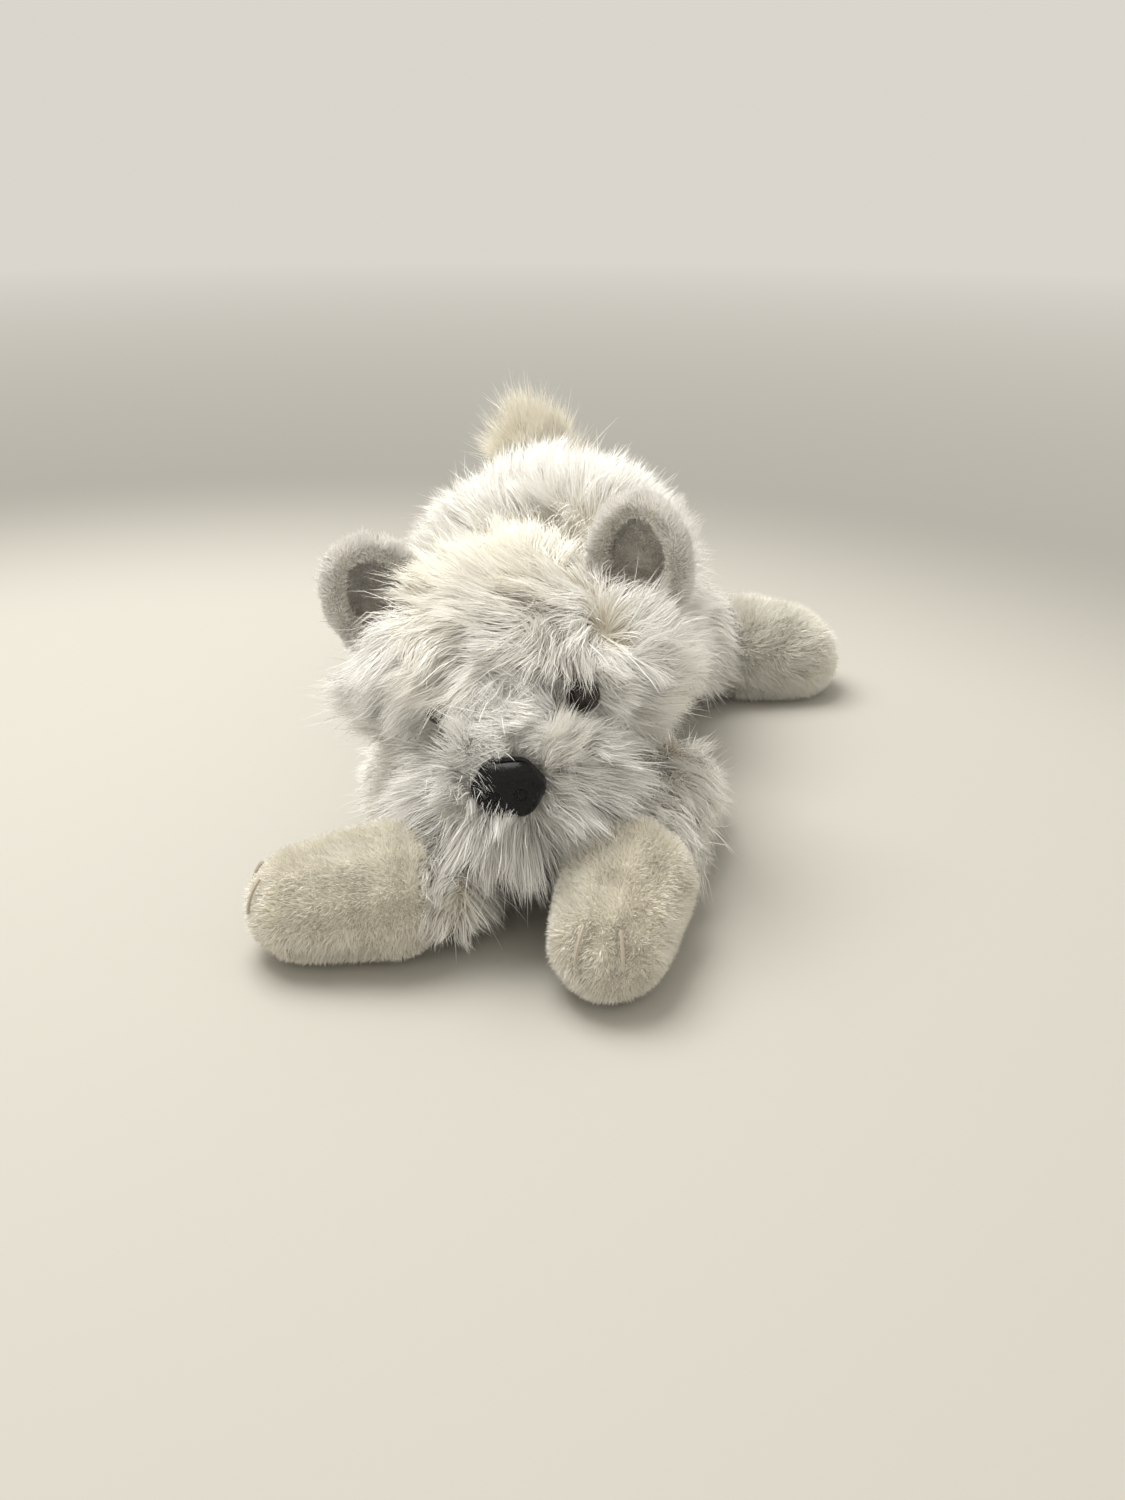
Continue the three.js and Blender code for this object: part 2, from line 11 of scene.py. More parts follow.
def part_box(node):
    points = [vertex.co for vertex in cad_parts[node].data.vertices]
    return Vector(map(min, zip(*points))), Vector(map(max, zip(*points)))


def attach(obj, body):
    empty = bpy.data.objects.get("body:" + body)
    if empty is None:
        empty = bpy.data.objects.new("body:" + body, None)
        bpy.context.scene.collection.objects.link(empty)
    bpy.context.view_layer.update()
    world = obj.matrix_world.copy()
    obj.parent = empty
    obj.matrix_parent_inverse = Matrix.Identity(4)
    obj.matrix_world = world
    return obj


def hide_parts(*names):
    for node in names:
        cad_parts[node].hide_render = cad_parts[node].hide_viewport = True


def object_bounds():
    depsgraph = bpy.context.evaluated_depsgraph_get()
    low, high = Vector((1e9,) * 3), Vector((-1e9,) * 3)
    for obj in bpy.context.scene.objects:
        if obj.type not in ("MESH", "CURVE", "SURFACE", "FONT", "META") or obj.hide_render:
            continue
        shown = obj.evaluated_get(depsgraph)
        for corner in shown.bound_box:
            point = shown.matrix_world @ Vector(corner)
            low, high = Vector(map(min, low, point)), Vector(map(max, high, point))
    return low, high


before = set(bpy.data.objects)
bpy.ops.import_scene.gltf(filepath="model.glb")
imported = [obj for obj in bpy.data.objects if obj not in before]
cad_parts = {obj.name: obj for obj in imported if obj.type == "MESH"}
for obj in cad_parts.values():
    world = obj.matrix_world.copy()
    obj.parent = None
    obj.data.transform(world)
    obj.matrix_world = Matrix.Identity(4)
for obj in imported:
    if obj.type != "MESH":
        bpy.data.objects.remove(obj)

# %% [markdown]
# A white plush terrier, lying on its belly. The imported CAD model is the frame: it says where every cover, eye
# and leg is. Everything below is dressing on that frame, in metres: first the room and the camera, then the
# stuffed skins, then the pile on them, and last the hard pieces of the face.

MM = 0.001
cad_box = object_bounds()
print("CAD box", [round(x, 4) for corner in cad_box for x in corner])

LEGS = ("foreleg_left", "foreleg_right", "hindleg_left", "hindleg_right")


def paw_of(leg):
    return f"{leg}_{'paw' if leg.startswith('fore') else 'foot'}_cover"


EARS = ("ear_left", "ear_right")

# %% [markdown]
# Small helpers put new things into the scene: a shape drawn with bmesh becomes a mesh, a mesh or a lamp becomes
# an object at the origin, and a mesh is shaded smooth.

# %% Things in the scene
def mesh_of(name, shape):
    """The mesh of a bmesh shape, which is then freed."""
    mesh = bpy.data.meshes.new(name)
    shape.to_mesh(mesh)
    shape.free()
    return mesh


def linked(name, data):
    made = bpy.data.objects.new(name, data)
    bpy.context.scene.collection.objects.link(made)
    return made


def shade_smooth(mesh):
    mesh.polygons.foreach_set("use_smooth", np.ones(len(mesh.polygons), bool))


print("helpers ready for", len(LEGS), "legs and", len(EARS), "ears")

# %% [markdown]
# The dog is seen from a little above its nose, close by, as somebody crouching in front of it sees it. A
# camera close to its subject makes the near paws and the nose large and the tail small, so the distance
# matters as much as the direction.

# %% Camera
VIEW_TURN = math.radians(7)
VIEW_DROP = math.radians(26)
VIEW_HEIGHT_ANGLE = math.radians(61.65)
EYE_POINT = Vector((0.067, -0.4955, 0.246))

lens = bpy.data.cameras.new("front_lens")
lens.sensor_fit = "VERTICAL"
lens.angle_y = VIEW_HEIGHT_ANGLE
lens.clip_start = 0.01
camera = linked("front_camera", lens)
looking = Vector((
    -math.sin(VIEW_TURN) * math.cos(VIEW_DROP),
    math.cos(VIEW_TURN) * math.cos(VIEW_DROP),
    -math.sin(VIEW_DROP),
))
camera.location = EYE_POINT
camera.rotation_mode = "QUATERNION"
camera.rotation_quaternion = looking.to_track_quat("-Z", "Y")
bpy.context.scene.camera = camera
print("camera looks along", [round(x, 3) for x in looking])


# %% [markdown]
# Node materials are built from a few small helpers: one adds a node, one joins two sockets, and one starts a
# material with a single Principled shader whose plain values sit on its own sockets.

# %% Material helpers
def node(material, kind, **settings):
    made = material.node_tree.nodes.new(kind)
    for key, value in settings.items():
        setattr(made, key, value)
    return made


def join(material, output, socket):
    material.node_tree.links.new(output, socket)


def new_finish(name, **values):
    """A material with one Principled shader, and that shader."""
    material = bpy.data.materials.new(name)
    material.use_nodes = True
    shader = material.node_tree.nodes["Principled BSDF"]
    for socket, value in values.items():
        shader.inputs[socket.replace("_", " ")].default_value = value
    return material, shader


def ramp(material, stops, factor):
    """A colour ramp fed by a socket. Stops are (place, (r, g, b))."""
    made = node(material, "ShaderNodeValToRGB")
    elements = made.color_ramp.elements
    while len(elements) < len(stops):
        elements.new(0.5)
    for element, (place, colour) in zip(elements, stops):
        element.position = place
        element.color = (*colour, 1)
    join(material, factor, made.inputs["Fac"])
    return made.outputs["Color"]


def noise_of(material, scale, detail=3.0):
    """A noise pattern on the piece's own coordinates."""
    place = node(material, "ShaderNodeTexCoord")
    pattern = node(material, "ShaderNodeTexNoise")
    pattern.inputs["Scale"].default_value = scale
    pattern.inputs["Detail"].default_value = detail
    join(material, place.outputs["Object"], pattern.inputs["Vector"])
    return pattern.outputs["Fac"]


def mottle(material, shader, pattern, dark, light):
    """Colours a finish between two tones, as the pattern goes."""
    join(material, ramp(material, [(0.3, dark), (0.7, light)], pattern), shader.inputs["Base Color"])


def add_bump(material, shader, height, strength, distance):
    bump = node(material, "ShaderNodeBump")
    bump.inputs["Strength"].default_value = strength
    bump.inputs["Distance"].default_value = distance
    join(material, height, bump.inputs["Height"])
    join(material, bump.outputs["Normal"], shader.inputs["Normal"])


print("material helpers ready")

# %% [markdown]
# The room is a pale paper sweep under a large soft light. A real sweep curls up behind the dog. Here the
# floor stays flat and fades into the colour of the room instead, so nothing stands in the way of a view from
# behind: with the distance from the dog its diffuse shader gives way to a painted glow of the room's light,
# dimmer near the dog and brighter far off.

# %% Room
FLOOR_REACH = 6.0
FADE_START, FADE_END = 0.45, 0.80
FADE_MIDDLE = (-0.12, -0.28, 0.0)
PAPER = (0.53, 0.515, 0.47)
ROOM_NEAR = (0.47, 0.45, 0.39)
ROOM_FAR = (0.70, 0.67, 0.61)


def make_floor():
    shape = bmesh.new()
    bmesh.ops.create_grid(shape, x_segments=1, y_segments=1, size=FLOOR_REACH)
    floor = linked("table_top", mesh_of("table_top", shape))
    paper, shader = new_finish("sweep_paper", Base_Color=(*PAPER, 1), Roughness=0.9, Specular_IOR_Level=0.2)
    place = node(paper, "ShaderNodeTexCoord")
    offset = node(paper, "ShaderNodeVectorMath", operation="DISTANCE")
    offset.inputs[1].default_value = FADE_MIDDLE
    join(paper, place.outputs["Object"], offset.inputs[0])
    fade = node(paper, "ShaderNodeMapRange", interpolation_type="SMOOTHSTEP")
    fade.inputs["From Min"].default_value = FADE_START
    fade.inputs["From Max"].default_value = FADE_END
    join(paper, offset.outputs["Value"], fade.inputs["Value"])
    away = node(paper, "ShaderNodeMath", operation="DIVIDE")
    away.inputs[1].default_value = FLOOR_REACH / 2
    join(paper, offset.outputs["Value"], away.inputs[0])
    # painted glow: the room's light, dimmer near the dog and brighter far off
    glow = node(paper, "ShaderNodeEmission")
    join(paper, ramp(paper, [(0.25, ROOM_NEAR), (0.9, ROOM_FAR)], away.outputs["Value"]), glow.inputs["Color"])
    mix = node(paper, "ShaderNodeMixShader")
    join(paper, fade.outputs["Result"], mix.inputs["Fac"])
    join(paper, shader.outputs["BSDF"], mix.inputs[1])
    join(paper, glow.outputs["Emission"], mix.inputs[2])
    join(paper, mix.outputs["Shader"], paper.node_tree.nodes["Material Output"].inputs["Surface"])
    floor.data.materials.append(paper)


make_floor()
print("floor made")


# %% [markdown]
# One wide softbox hangs nearly overhead, a little behind the dog and to its right, as a window or a ceiling
# lamp would light a toy on a table. It leaves the face in soft shade and the back bright. The room's own
# light fills in from every side.

# %% Lights
def soft_light(name, place, aim, size, watts, colour):
    """A square area light that faces a point."""
    lamp = bpy.data.lights.new(name, "AREA")
    lamp.size = size
    lamp.energy = watts
    lamp.color = colour
    holder = linked(name, lamp)
    holder.location = place
    facing = (Vector(aim) - Vector(place)).normalized()
    holder.rotation_mode = "QUATERNION"
    holder.rotation_quaternion = facing.to_track_quat("-Z", "Y")


soft_light("softbox", place=(-0.30, 0.12, 1.05), aim=(0, -0.08, 0.0), size=0.7, watts=12.5,
           colour=(1.0, 0.985, 0.95))
world = bpy.data.worlds.new("studio")
world.use_nodes = True
world.node_tree.nodes["Background"].inputs["Color"].default_value = (*ROOM_FAR, 1)
bpy.context.scene.world = world
bpy.context.scene.view_settings.view_transform = "Standard"


# %% [markdown]
# Every soft part is a sewn cover pulled round stuffing. Its skin starts as the CAD cover and its filling
# joined into one closed lump, remeshed into even cells and sunk a little, because the CAD wall stands for
# cloth and lying pile together. A skin lies deeper where its pile is long, and hardly at all on the ears.

# %% Skins: shape before stuffing
CELL = 0.0045
SKIN_SINK = 0.0075
SKIN_SWELL = 0.003
RELAX_ROUNDS = 3


def joined_nodes(name, nodes):
    """One mesh with the closed shapes of several CAD nodes, merged vertex to vertex."""
    shape = bmesh.new()
    for part in nodes:
        shape.from_mesh(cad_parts[part].data)
    bmesh.ops.remove_doubles(shape, verts=shape.verts, dist=1e-6)
    return mesh_of(name, shape)


def applied(thing):
    """Bakes a piece's modifiers into its mesh."""
    graph = bpy.context.evaluated_depsgraph_get()
    mesh = bpy.data.meshes.new_from_object(thing.evaluated_get(graph))
    thing.modifiers.clear()
    thing.data = mesh
    mesh.name = thing.name
    return thing


def remeshed(piece, cell):
    even = piece.modifiers.new("even", "REMESH")
    even.mode = "VOXEL"
    even.voxel_size = cell
    return applied(piece)


def points_of(mesh):
    found = np.empty(len(mesh.vertices) * 3, np.float32)
    mesh.vertices.foreach_get("co", found)
    return found.reshape(-1, 3)


def normals_of(mesh):
    found = np.empty(len(mesh.vertices) * 3, np.float32)
    mesh.vertex_normals.foreach_get("vector", found)
    return found.reshape(-1, 3)


def place_points(mesh, places):
    mesh.vertices.foreach_set("co", places.astype(np.float32).ravel())
    mesh.update()


def relax(mesh, rounds, factor=0.5):
    shape = bmesh.new()
    shape.from_mesh(mesh)
    for _ in range(rounds):
        bmesh.ops.smooth_vert(
            shape, verts=shape.verts, factor=factor,
            use_axis_x=True, use_axis_y=True, use_axis_z=True,
        )
    shape.to_mesh(mesh)
    shape.free()


def keep_outside(mesh):
    """Deletes what isn't part of the largest connected surface, such as the walls of a sealed gap."""
    shape = bmesh.new()
    shape.from_mesh(mesh)
    left = set(shape.verts)
    islands = []
    while left:
        grown, edge = set(), [left.pop()]
        while edge:
            vertex = edge.pop()
            grown.add(vertex)
            for link in vertex.link_edges:
                other = link.other_vert(vertex)
                if other in left:
                    left.discard(other)
                    edge.append(other)
        islands.append(grown)
    islands.sort(key=len, reverse=True)
    for island in islands[1:]:
        bmesh.ops.delete(shape, geom=list(island), context="VERTS")
    shape.to_mesh(mesh)
    shape.free()


def lump(name, nodes, cell=CELL, sink=SKIN_SINK):
    """The closed lump that a skin starts from."""
    piece = linked(name, joined_nodes(name, nodes))
    remeshed(piece, cell)
    keep_outside(piece.data)
    relax(piece.data, RELAX_ROUNDS)
    place_points(piece.data, points_of(piece.data) - normals_of(piece.data) * sink)
    return piece


skins = {
    "torso_skin": lump("torso_skin", ["back_panel", "belly_panel", "torso_stuffing"]),
    "head_skin": lump("head_skin", ["head_crown_cover", "head_chin_cover", "muzzle_cover",
                                    "head_stuffing", "muzzle_stuffing"], cell=0.0035, sink=0.0058),
    "tail_skin": lump("tail_skin", ["tail_cover", "tail_stuffing"], cell=0.003, sink=0.007),
}
for leg in LEGS:
    whole = [f"{leg}_sleeve", paw_of(leg), f"{leg}_stuffing", f"{leg}_pellet_bag"]
    skins[f"{leg}_skin"] = lump(f"{leg}_skin", whole, cell=0.0035, sink=0.0045)
for ear in EARS:
    skins[f"{ear}_skin"] = lump(f"{ear}_skin", [f"{ear}_back", f"{ear}_lining"], cell=0.0013, sink=0.0002)
for name, skin in skins.items():
    print(name, len(skin.data.vertices), "vertices")


# %% [markdown]
# Stuffing pushes a cover out until its seams hold it. So the skins are blown up all at once by cloth pressure,
# with a limit on how far each point goes, and then one subdivision makes them smooth. The ears are two layers
# of cloth with no filling, so they only take the subdivision.

# %% Skins: stuffing pushes them out
PRESSURE = 4.0
STUFF_FRAMES = 20


def stuff(pieces, swell):
    """Runs cloth pressure on the pieces together and keeps each point within swell of its start."""
    starts = {piece.name: points_of(piece.data) for piece in pieces}
    for piece in pieces:
        cloth = piece.modifiers.new("stuffing", "CLOTH")
        cloth.settings.quality = 4
        cloth.settings.use_pressure = True
        cloth.settings.uniform_pressure_force = PRESSURE
        cloth.settings.effector_weights.gravity = 0
    for step in range(1, STUFF_FRAMES + 1):
        bpy.context.scene.frame_set(step)
    for piece in pieces:
        applied(piece)
        start = starts[piece.name]
        move = points_of(piece.data) - start
        reach = np.linalg.norm(move, axis=1, keepdims=True)
        place_points(piece.data, start + move * np.minimum(1, swell / np.maximum(reach, 1e-9)))
    bpy.context.scene.frame_set(1)


stuffed = [skin for name, skin in skins.items() if not name.startswith("ear")]
stuff(stuffed, SKIN_SWELL)


def smoothed(piece):
    """One subdivision, the faces shaded smooth."""
    relax(piece.data, RELAX_ROUNDS)
    finer = piece.modifiers.new("finer", "SUBSURF")
    finer.levels = finer.render_levels = 1
    applied(piece)
    shade_smooth(piece.data)


for skin in skins.values():
    smoothed(skin)
    print(skin.name, [round(x * 1000) for x in points_of(skin.data).min(0)],
          [round(x * 1000) for x in points_of(skin.data).max(0)])

# %% [markdown]
# The pile is what one sees of this toy, so it is made strand by strand. One strand is a tapered blade: a
# narrow strip of a few faces that ends in a point. It is drawn once with bmesh, and then its points are laid
# along the path of every strand at once with arrays, because there are far too many for loops.

# %% One blade
def blade(segments):
    """A strip one wide and `segments` long that ends in a point: its points (across, along) and its faces."""
    shape = bmesh.new()
    bmesh.ops.create_grid(shape, x_segments=1, y_segments=segments, size=1)
    tip = [v for v in shape.verts if v.co.y > 0.999]
    bmesh.ops.pointmerge(shape, verts=tip, merge_co=(0, 1, 0))
    shape.verts.index_update()
    places = np.array([(v.co.x, (v.co.y + 1) / 2) for v in shape.verts])
    faces = [[v.index for v in f.verts] for f in shape.faces]
    shape.free()
    return places, faces


print("blade of 4:", len(blade(4)[0]), "points,", len(blade(4)[1]), "faces")

# %% [markdown]
# A pile fibre is a little thinner where it leaves the cloth, widest about a third of the way up, and drawn to
# a fine tip. All the strands of a coat become one mesh, and each point's place along and across its strand is
# kept in the UV map for the colour.

# %% Strand arrays made a mesh
WIDEST = 0.35       # how far along a strand is widest
ROOT_WIDTH = 0.75   # of the widest
TIP_WIDTH = 0.25    # of the widest
TAPER = 1.6
UV_SPREAD = 0.01    # how far across the UV map one strand reaches


def strand_mesh(name, paths, sides, width, warmth):
    """One mesh of blades. paths is (strands, points, 3), sides the way across each blade."""
    strands, levels = paths.shape[:2]
    places, faces = blade(levels - 1)
    level = np.rint(places[:, 1] * (levels - 1)).astype(int)
    along = places[:, 1]
    taper = np.where(along < WIDEST, ROOT_WIDTH + (1 - ROOT_WIDTH) * along / WIDEST,
                     1 - (1 - TIP_WIDTH) * (np.maximum(along - WIDEST, 0) / (1 - WIDEST)) ** TAPER)
    half = (places[:, 0] * taper)[None, :, None] * width[:, None, None] / 2
    points = paths[:, level] + sides[:, level] * half
    count = len(places)
    corners = np.concatenate([np.array(f) for f in faces])
    sizes = np.array([len(f) for f in faces])
    all_corners = (corners[None] + count * np.arange(strands)[:, None]).ravel()
    starts = np.concatenate([[0], np.cumsum(np.tile(sizes, strands))[:-1]])
    mesh = bpy.data.meshes.new(name)
    mesh.vertices.add(strands * count)
    mesh.vertices.foreach_set("co", points.astype(np.float32).ravel())
    mesh.loops.add(len(all_corners))
    mesh.loops.foreach_set("vertex_index", all_corners.astype(np.int32))
    mesh.polygons.add(len(sizes) * strands)
    mesh.polygons.foreach_set("loop_start", starts.astype(np.int32))
    shades = mesh.uv_layers.new(name="OFBake")
    shift = warmth[:, None] + places[None, :, 0] * UV_SPREAD
    uv = np.stack([shift, np.broadcast_to(along[None], shift.shape)], -1).reshape(-1, 2)
    shades.uv.foreach_set("vector", uv[all_corners].astype(np.float32).ravel())
    mesh.update(calc_edges=True)
    shade_smooth(mesh)
    return mesh


print("strands are widest", WIDEST, "of the way up")

# %% [markdown]
# Roots are scattered over a skin by area. Each strand leaves along the skin's normal and lies down towards
# the way it was combed. The comb is a handful of strokes: each says where, which way and how far it reaches,
# and what lies between takes a mix. Strands gather into thin locks, and locks into tufts, which is what
# makes long pile look shaggy.

# %% Roots, combs and paths
def unit(vectors):
    return vectors / np.maximum(np.linalg.norm(vectors, axis=-1, keepdims=True), 1e-9)


def scatter(mesh, count, share, rng):
    """count roots on a mesh and their normals. share(places) says how thick the pile is, from 0 to 1."""
    mesh.calc_loop_triangles()
    corner = np.empty(len(mesh.loop_triangles) * 3, np.int32)
    mesh.loop_triangles.foreach_get("vertices", corner)
    corner = corner.reshape(-1, 3)
    co, no = points_of(mesh).astype(float), normals_of(mesh).astype(float)
    a, b, c = (co[corner[:, i]] for i in range(3))
    area = np.linalg.norm(np.cross(b - a, c - a), axis=1) / 2
    weight = area * share((a + b + c) / 3, unit(no[corner].sum(1)))
    reach = np.cumsum(weight)
    pick = np.searchsorted(reach, (np.arange(count) + rng.random(count)) / count * reach[-1])
    pick = pick.clip(0, len(corner) - 1)
    u, v = rng.random(count), rng.random(count)
    over = u + v > 1
    u[over], v[over] = 1 - u[over], 1 - v[over]
    spread = np.stack([1 - u - v, u, v], 1)[:, :, None]
    return (co[corner[pick]] * spread).sum(1), unit((no[corner[pick]] * spread).sum(1)), float(weight.sum())


def combed(places, strokes):
    """The mixed direction of the comb strokes at each place. A stroke is (where, way, reach)."""
    total = np.zeros_like(places)
    for where, way, reach in strokes:
        near = np.exp(-((places - np.array(where)) ** 2).sum(1) / reach ** 2) + 1e-6
        total += near[:, None] * unit(np.array(way, float))
    return total


RIPPLES = 5   # waves summed into one pattern


def ripples(places, scale, seed):
    """Smooth noise vectors, as a sum of a few waves."""
    rng = np.random.default_rng(seed)
    total = np.zeros_like(places)
    for _ in range(RIPPLES):
        turn = unit(rng.normal(size=(3, 3)))
        phase = rng.random(3) * 2 * math.pi
        total += np.sin(places @ turn.T * (2 * math.pi / scale) * rng.uniform(0.6, 1.6) + phase)
    return total / RIPPLES ** 0.5


def nearest(places, centres):
    tree = KDTree(len(centres))
    for i, centre in enumerate(centres):
        tree.insert(centre, i)
    tree.balance()
    return np.array([tree.find(p)[1] for p in places])


def paths_of(roots, normals, ways, lengths, lift, lie, droop, levels):
    """Each strand's points: it leaves at angle lift from the skin and ends at angle lie, then droops."""
    ways = ways - normals * (ways * normals).sum(1, keepdims=True)
    ways = unit(ways)
    points = [roots]
    down = np.array([0, 0, -1.0])
    for i in range(levels - 1):
        share = (i + 0.5) / (levels - 1)
        angle = (lift + (lie - lift) * share ** 0.7)[:, None]
        step = np.cos(angle) * ways + np.sin(angle) * normals + droop * share * down
        points.append(points[-1] + unit(step) * (lengths / (levels - 1))[:, None])
    return np.stack(points, 1)


def gather(paths, roots, every, pull, rng, power):
    """Pulls strands towards the nearest of a few of their number, more so at the tips."""
    chosen = rng.choice(len(roots), max(2, len(roots) // every), replace=False)
    leader = chosen[nearest(roots, roots[chosen])]
    share = np.linspace(0, 1, paths.shape[1])[None, :, None] ** power
    pulls = np.clip(pull + rng.normal(0, 0.12, len(roots)), 0, 0.97)[:, None, None]
    return paths + (paths[leader] - paths) * share * pulls


def sides_of(paths, normals, rng, spread):
    """The way across each blade, square to its path, lying on the skin and rolled a little."""
    along = unit(np.gradient(paths, axis=1))
    across = unit(np.cross(along, normals[:, None]))
    up = np.cross(across, along)
    roll = rng.normal(0, spread, len(paths))[:, None, None]
    return across * np.cos(roll) + up * np.sin(roll)


print("pile helpers ready")

# %% [markdown]
# Long pile is an off-white acrylic: cool and bright at the tips, a little yellow where it is old or thick,
# and darker at the roots where light hardly reaches. Each strand carries two numbers in its UV map: how warm
# it is, and how far along it a point is. The colour is worked out from those two.

# %% Pile finishes
def pile_finish(name, cool, warm, root_shade, roughness=0.6, sheen=0.15):
    material, shader = new_finish(
        name, Roughness=roughness, Specular_IOR_Level=0.25,
        Sheen_Weight=sheen, Sheen_Roughness=0.5,
    )
    uv = node(material, "ShaderNodeUVMap", uv_map="OFBake")
    split = node(material, "ShaderNodeSeparateXYZ")
    join(material, uv.outputs["UV"], split.inputs["Vector"])
    tone = ramp(material, [(0, cool), (1, warm)], split.outputs["X"])
    shade = ramp(material, [(0, root_shade), (0.45, (1, 1, 1))], split.outputs["Y"])
    mix = node(material, "ShaderNodeMix", data_type="RGBA", blend_type="MULTIPLY")
    mix.inputs["Factor"].default_value = 1
    join(material, tone, mix.inputs["A"])
    join(material, shade, mix.inputs["B"])
    join(material, mix.outputs["Result"], shader.inputs["Base Color"])
    return material


LONG_PILE = pile_finish("long_pile_acrylic", (0.97, 0.965, 0.95), (0.95, 0.91, 0.80), (0.84, 0.79, 0.68))
SHORT_PILE = pile_finish("short_pile_velour", (0.96, 0.945, 0.89), (0.92, 0.88, 0.78), (0.95, 0.92, 0.86), 0.8)
# the ear pile's warm stop is the lining's brown darkened by painted shade, used towards the bottom of the cup
EAR_PILE = pile_finish("ear_pile_velour", (0.97, 0.965, 0.945), (0.78, 0.68, 0.57), (0.97, 0.96, 0.94), 0.8,
                       sheen=0.7)


def cloth_finish(name, colour, shade, scale=900.0):
    """Woven backing: a fine mottle with a small bump."""
    material, shader = new_finish(name, Roughness=0.9, Specular_IOR_Level=0.2)
    weave = noise_of(material, scale)
    mottle(material, shader, weave, shade, colour)
    add_bump(material, shader, weave, 0.4, 0.0004)
    return material


BACKING = cloth_finish("knit_backing", (0.80, 0.78, 0.71), (0.70, 0.67, 0.60))
for skin in skins.values():
    skin.data.materials.append(BACKING)
print("finishes:", LONG_PILE.name, SHORT_PILE.name, EAR_PILE.name, BACKING.name)


# %% [markdown]
# A coat is pile fabric: fibres locked into a knit backing, all of one length when it was cut, and since then
# bent, clumped and ruffled by handling. Every coat is grown in the same steps: paths from the comb, gathered
# into tufts and then into locks, with a few strays left standing, a little scatter and a slow wave. A strand
# that would leave the room round the CAD box is shortened, and none goes through the floor.

# %% Growing a coat
WAVE_LENGTH = 0.017
WAVE_HEIGHT = 0.0014
TUFT_POWER = 1.2     # how late along a strand its tuft gathers
LOCK_POWER = 1.4
STRAY_SHARE = 0.06   # strands that join neither tuft nor lock
STRAY_LOOSE = 3.0
ROLL = 0.5           # how much blades turn about their own length, in radians
PILE_REACH = 0.009   # how far past the CAD box the pile may stand, besides ROOM_SHARE of each side
ROOM_SHARE = 0.02
FLOOR_GAP = 0.0006


def kept_in(roots, paths):
    """How much each strand is shortened so that it stays inside the room round the CAD box."""
    low, high = (np.array(corner) for corner in cad_box)
    room = PILE_REACH + ROOM_SHARE * (high - low)
    over = (high + room - roots)[:, None] / np.maximum(paths - roots[:, None], 1e-6)
    under = (roots - low + room)[:, None] / np.maximum(roots[:, None] - paths, 1e-6)
    return np.clip(np.minimum(over, under).min(axis=(1, 2)), 0, 1)


def grow(name, skin, count, rules, seed, levels=5, finish=None):
    """A coat of strands on a skin, as one piece. rules["style"] says how each strand grows."""
    rng = np.random.default_rng(seed)
    roots, normals, area = scatter(skin.data, count, rules["share"], rng)
    look = rules["style"](roots, normals, rng)
    stray = rng.random(len(roots)) < look.get("stray", STRAY_SHARE)
    paths = paths_of(roots, normals, look["ways"], look["lengths"], look["lift"], look["lie"],
                     look["droop"], levels)
    tufts = gather(paths, roots, rules["tuft"], look["tuft_pull"] * ~stray, rng, TUFT_POWER)
    locks = gather(tufts, roots, rules["lock"], look["lock_pull"] * ~stray, rng, LOCK_POWER)
    share = np.linspace(0, 1, levels)[None, :, None]
    loose = look["wild"] * np.where(stray, STRAY_LOOSE, 1.0)[:, None, None]
    paths = locks + rng.normal(0, 1, (len(roots), 1, 3)) * loose * share
    waves = ripples(paths.reshape(-1, 3), WAVE_LENGTH, seed + 7).reshape(paths.shape)
    paths = paths + waves * look.get("wave", WAVE_HEIGHT) * share
    paths = roots[:, None] + (paths - roots[:, None]) * kept_in(roots, paths)[:, None, None]
    paths[..., 2] = np.maximum(paths[..., 2], FLOOR_GAP)
    flat = sides_of(paths, normals, rng, look.get("roll", ROLL))
    mesh = strand_mesh(name, paths, flat, look["width"], np.clip(look["warmth"], 0.02, 0.98))
    mesh.materials.append(finish or LONG_PILE)
    linked(name, mesh).parent = skin
    triangles = sum(len(p) - 2 for p in blade(levels - 1)[1]) * len(roots)
    print(name, len(roots), "strands", triangles, "triangles",
          round(len(roots) / (area * 1e6), 2), "per mm2")


print("coats stay within", PILE_REACH, "m of the CAD box and", ROOM_SHARE, "of its sides")

# %% [markdown]
# The head is turned and tipped, so the pile on it is described in the face's own directions: towards the
# dog's left, backwards and up, from the nose. They come from where the CAD nose and eyes are.

# %% The face's own directions
def middle_of(name):
    low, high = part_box(name)
    return np.array((low + high) / 2)


nose = middle_of("nose")
nose[1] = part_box("nose")[0].y
eyes = {side: middle_of(f"eye_{side}") for side in ("left", "right")}
for side in eyes:
    eyes[side][1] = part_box(f"eye_{side}")[0].y
across = unit(eyes["left"] - eyes["right"])
back = unit(np.cross(np.array([0, 0, 1.0]), across))
rise = np.cross(across, back)
FACE = np.stack([across, back, rise])


def on_face(x, y, z):
    """A point given from the nose: towards the dog's left, backwards and up, in millimetres."""
    return nose + (np.array([x, y, z]) * MM) @ FACE


def face_way(x, y, z):
    return np.array([x, y, z], float) @ FACE


print("nose", (nose * 1000).round(), "eyes", {k: (v * 1000).round() for k, v in eyes.items()})

# %% [markdown]
# The face wears the longest pile. It is parted on the crown, hangs over the eyes as brows, and stands out
# round the nose like the rays of a muzzle, with a beard below. On the toy this is one fabric, cut short on the
# bridge of the nose and trimmed away from the eyes. A stroke is where, which way and how far it reaches, in
# millimetres from the nose.

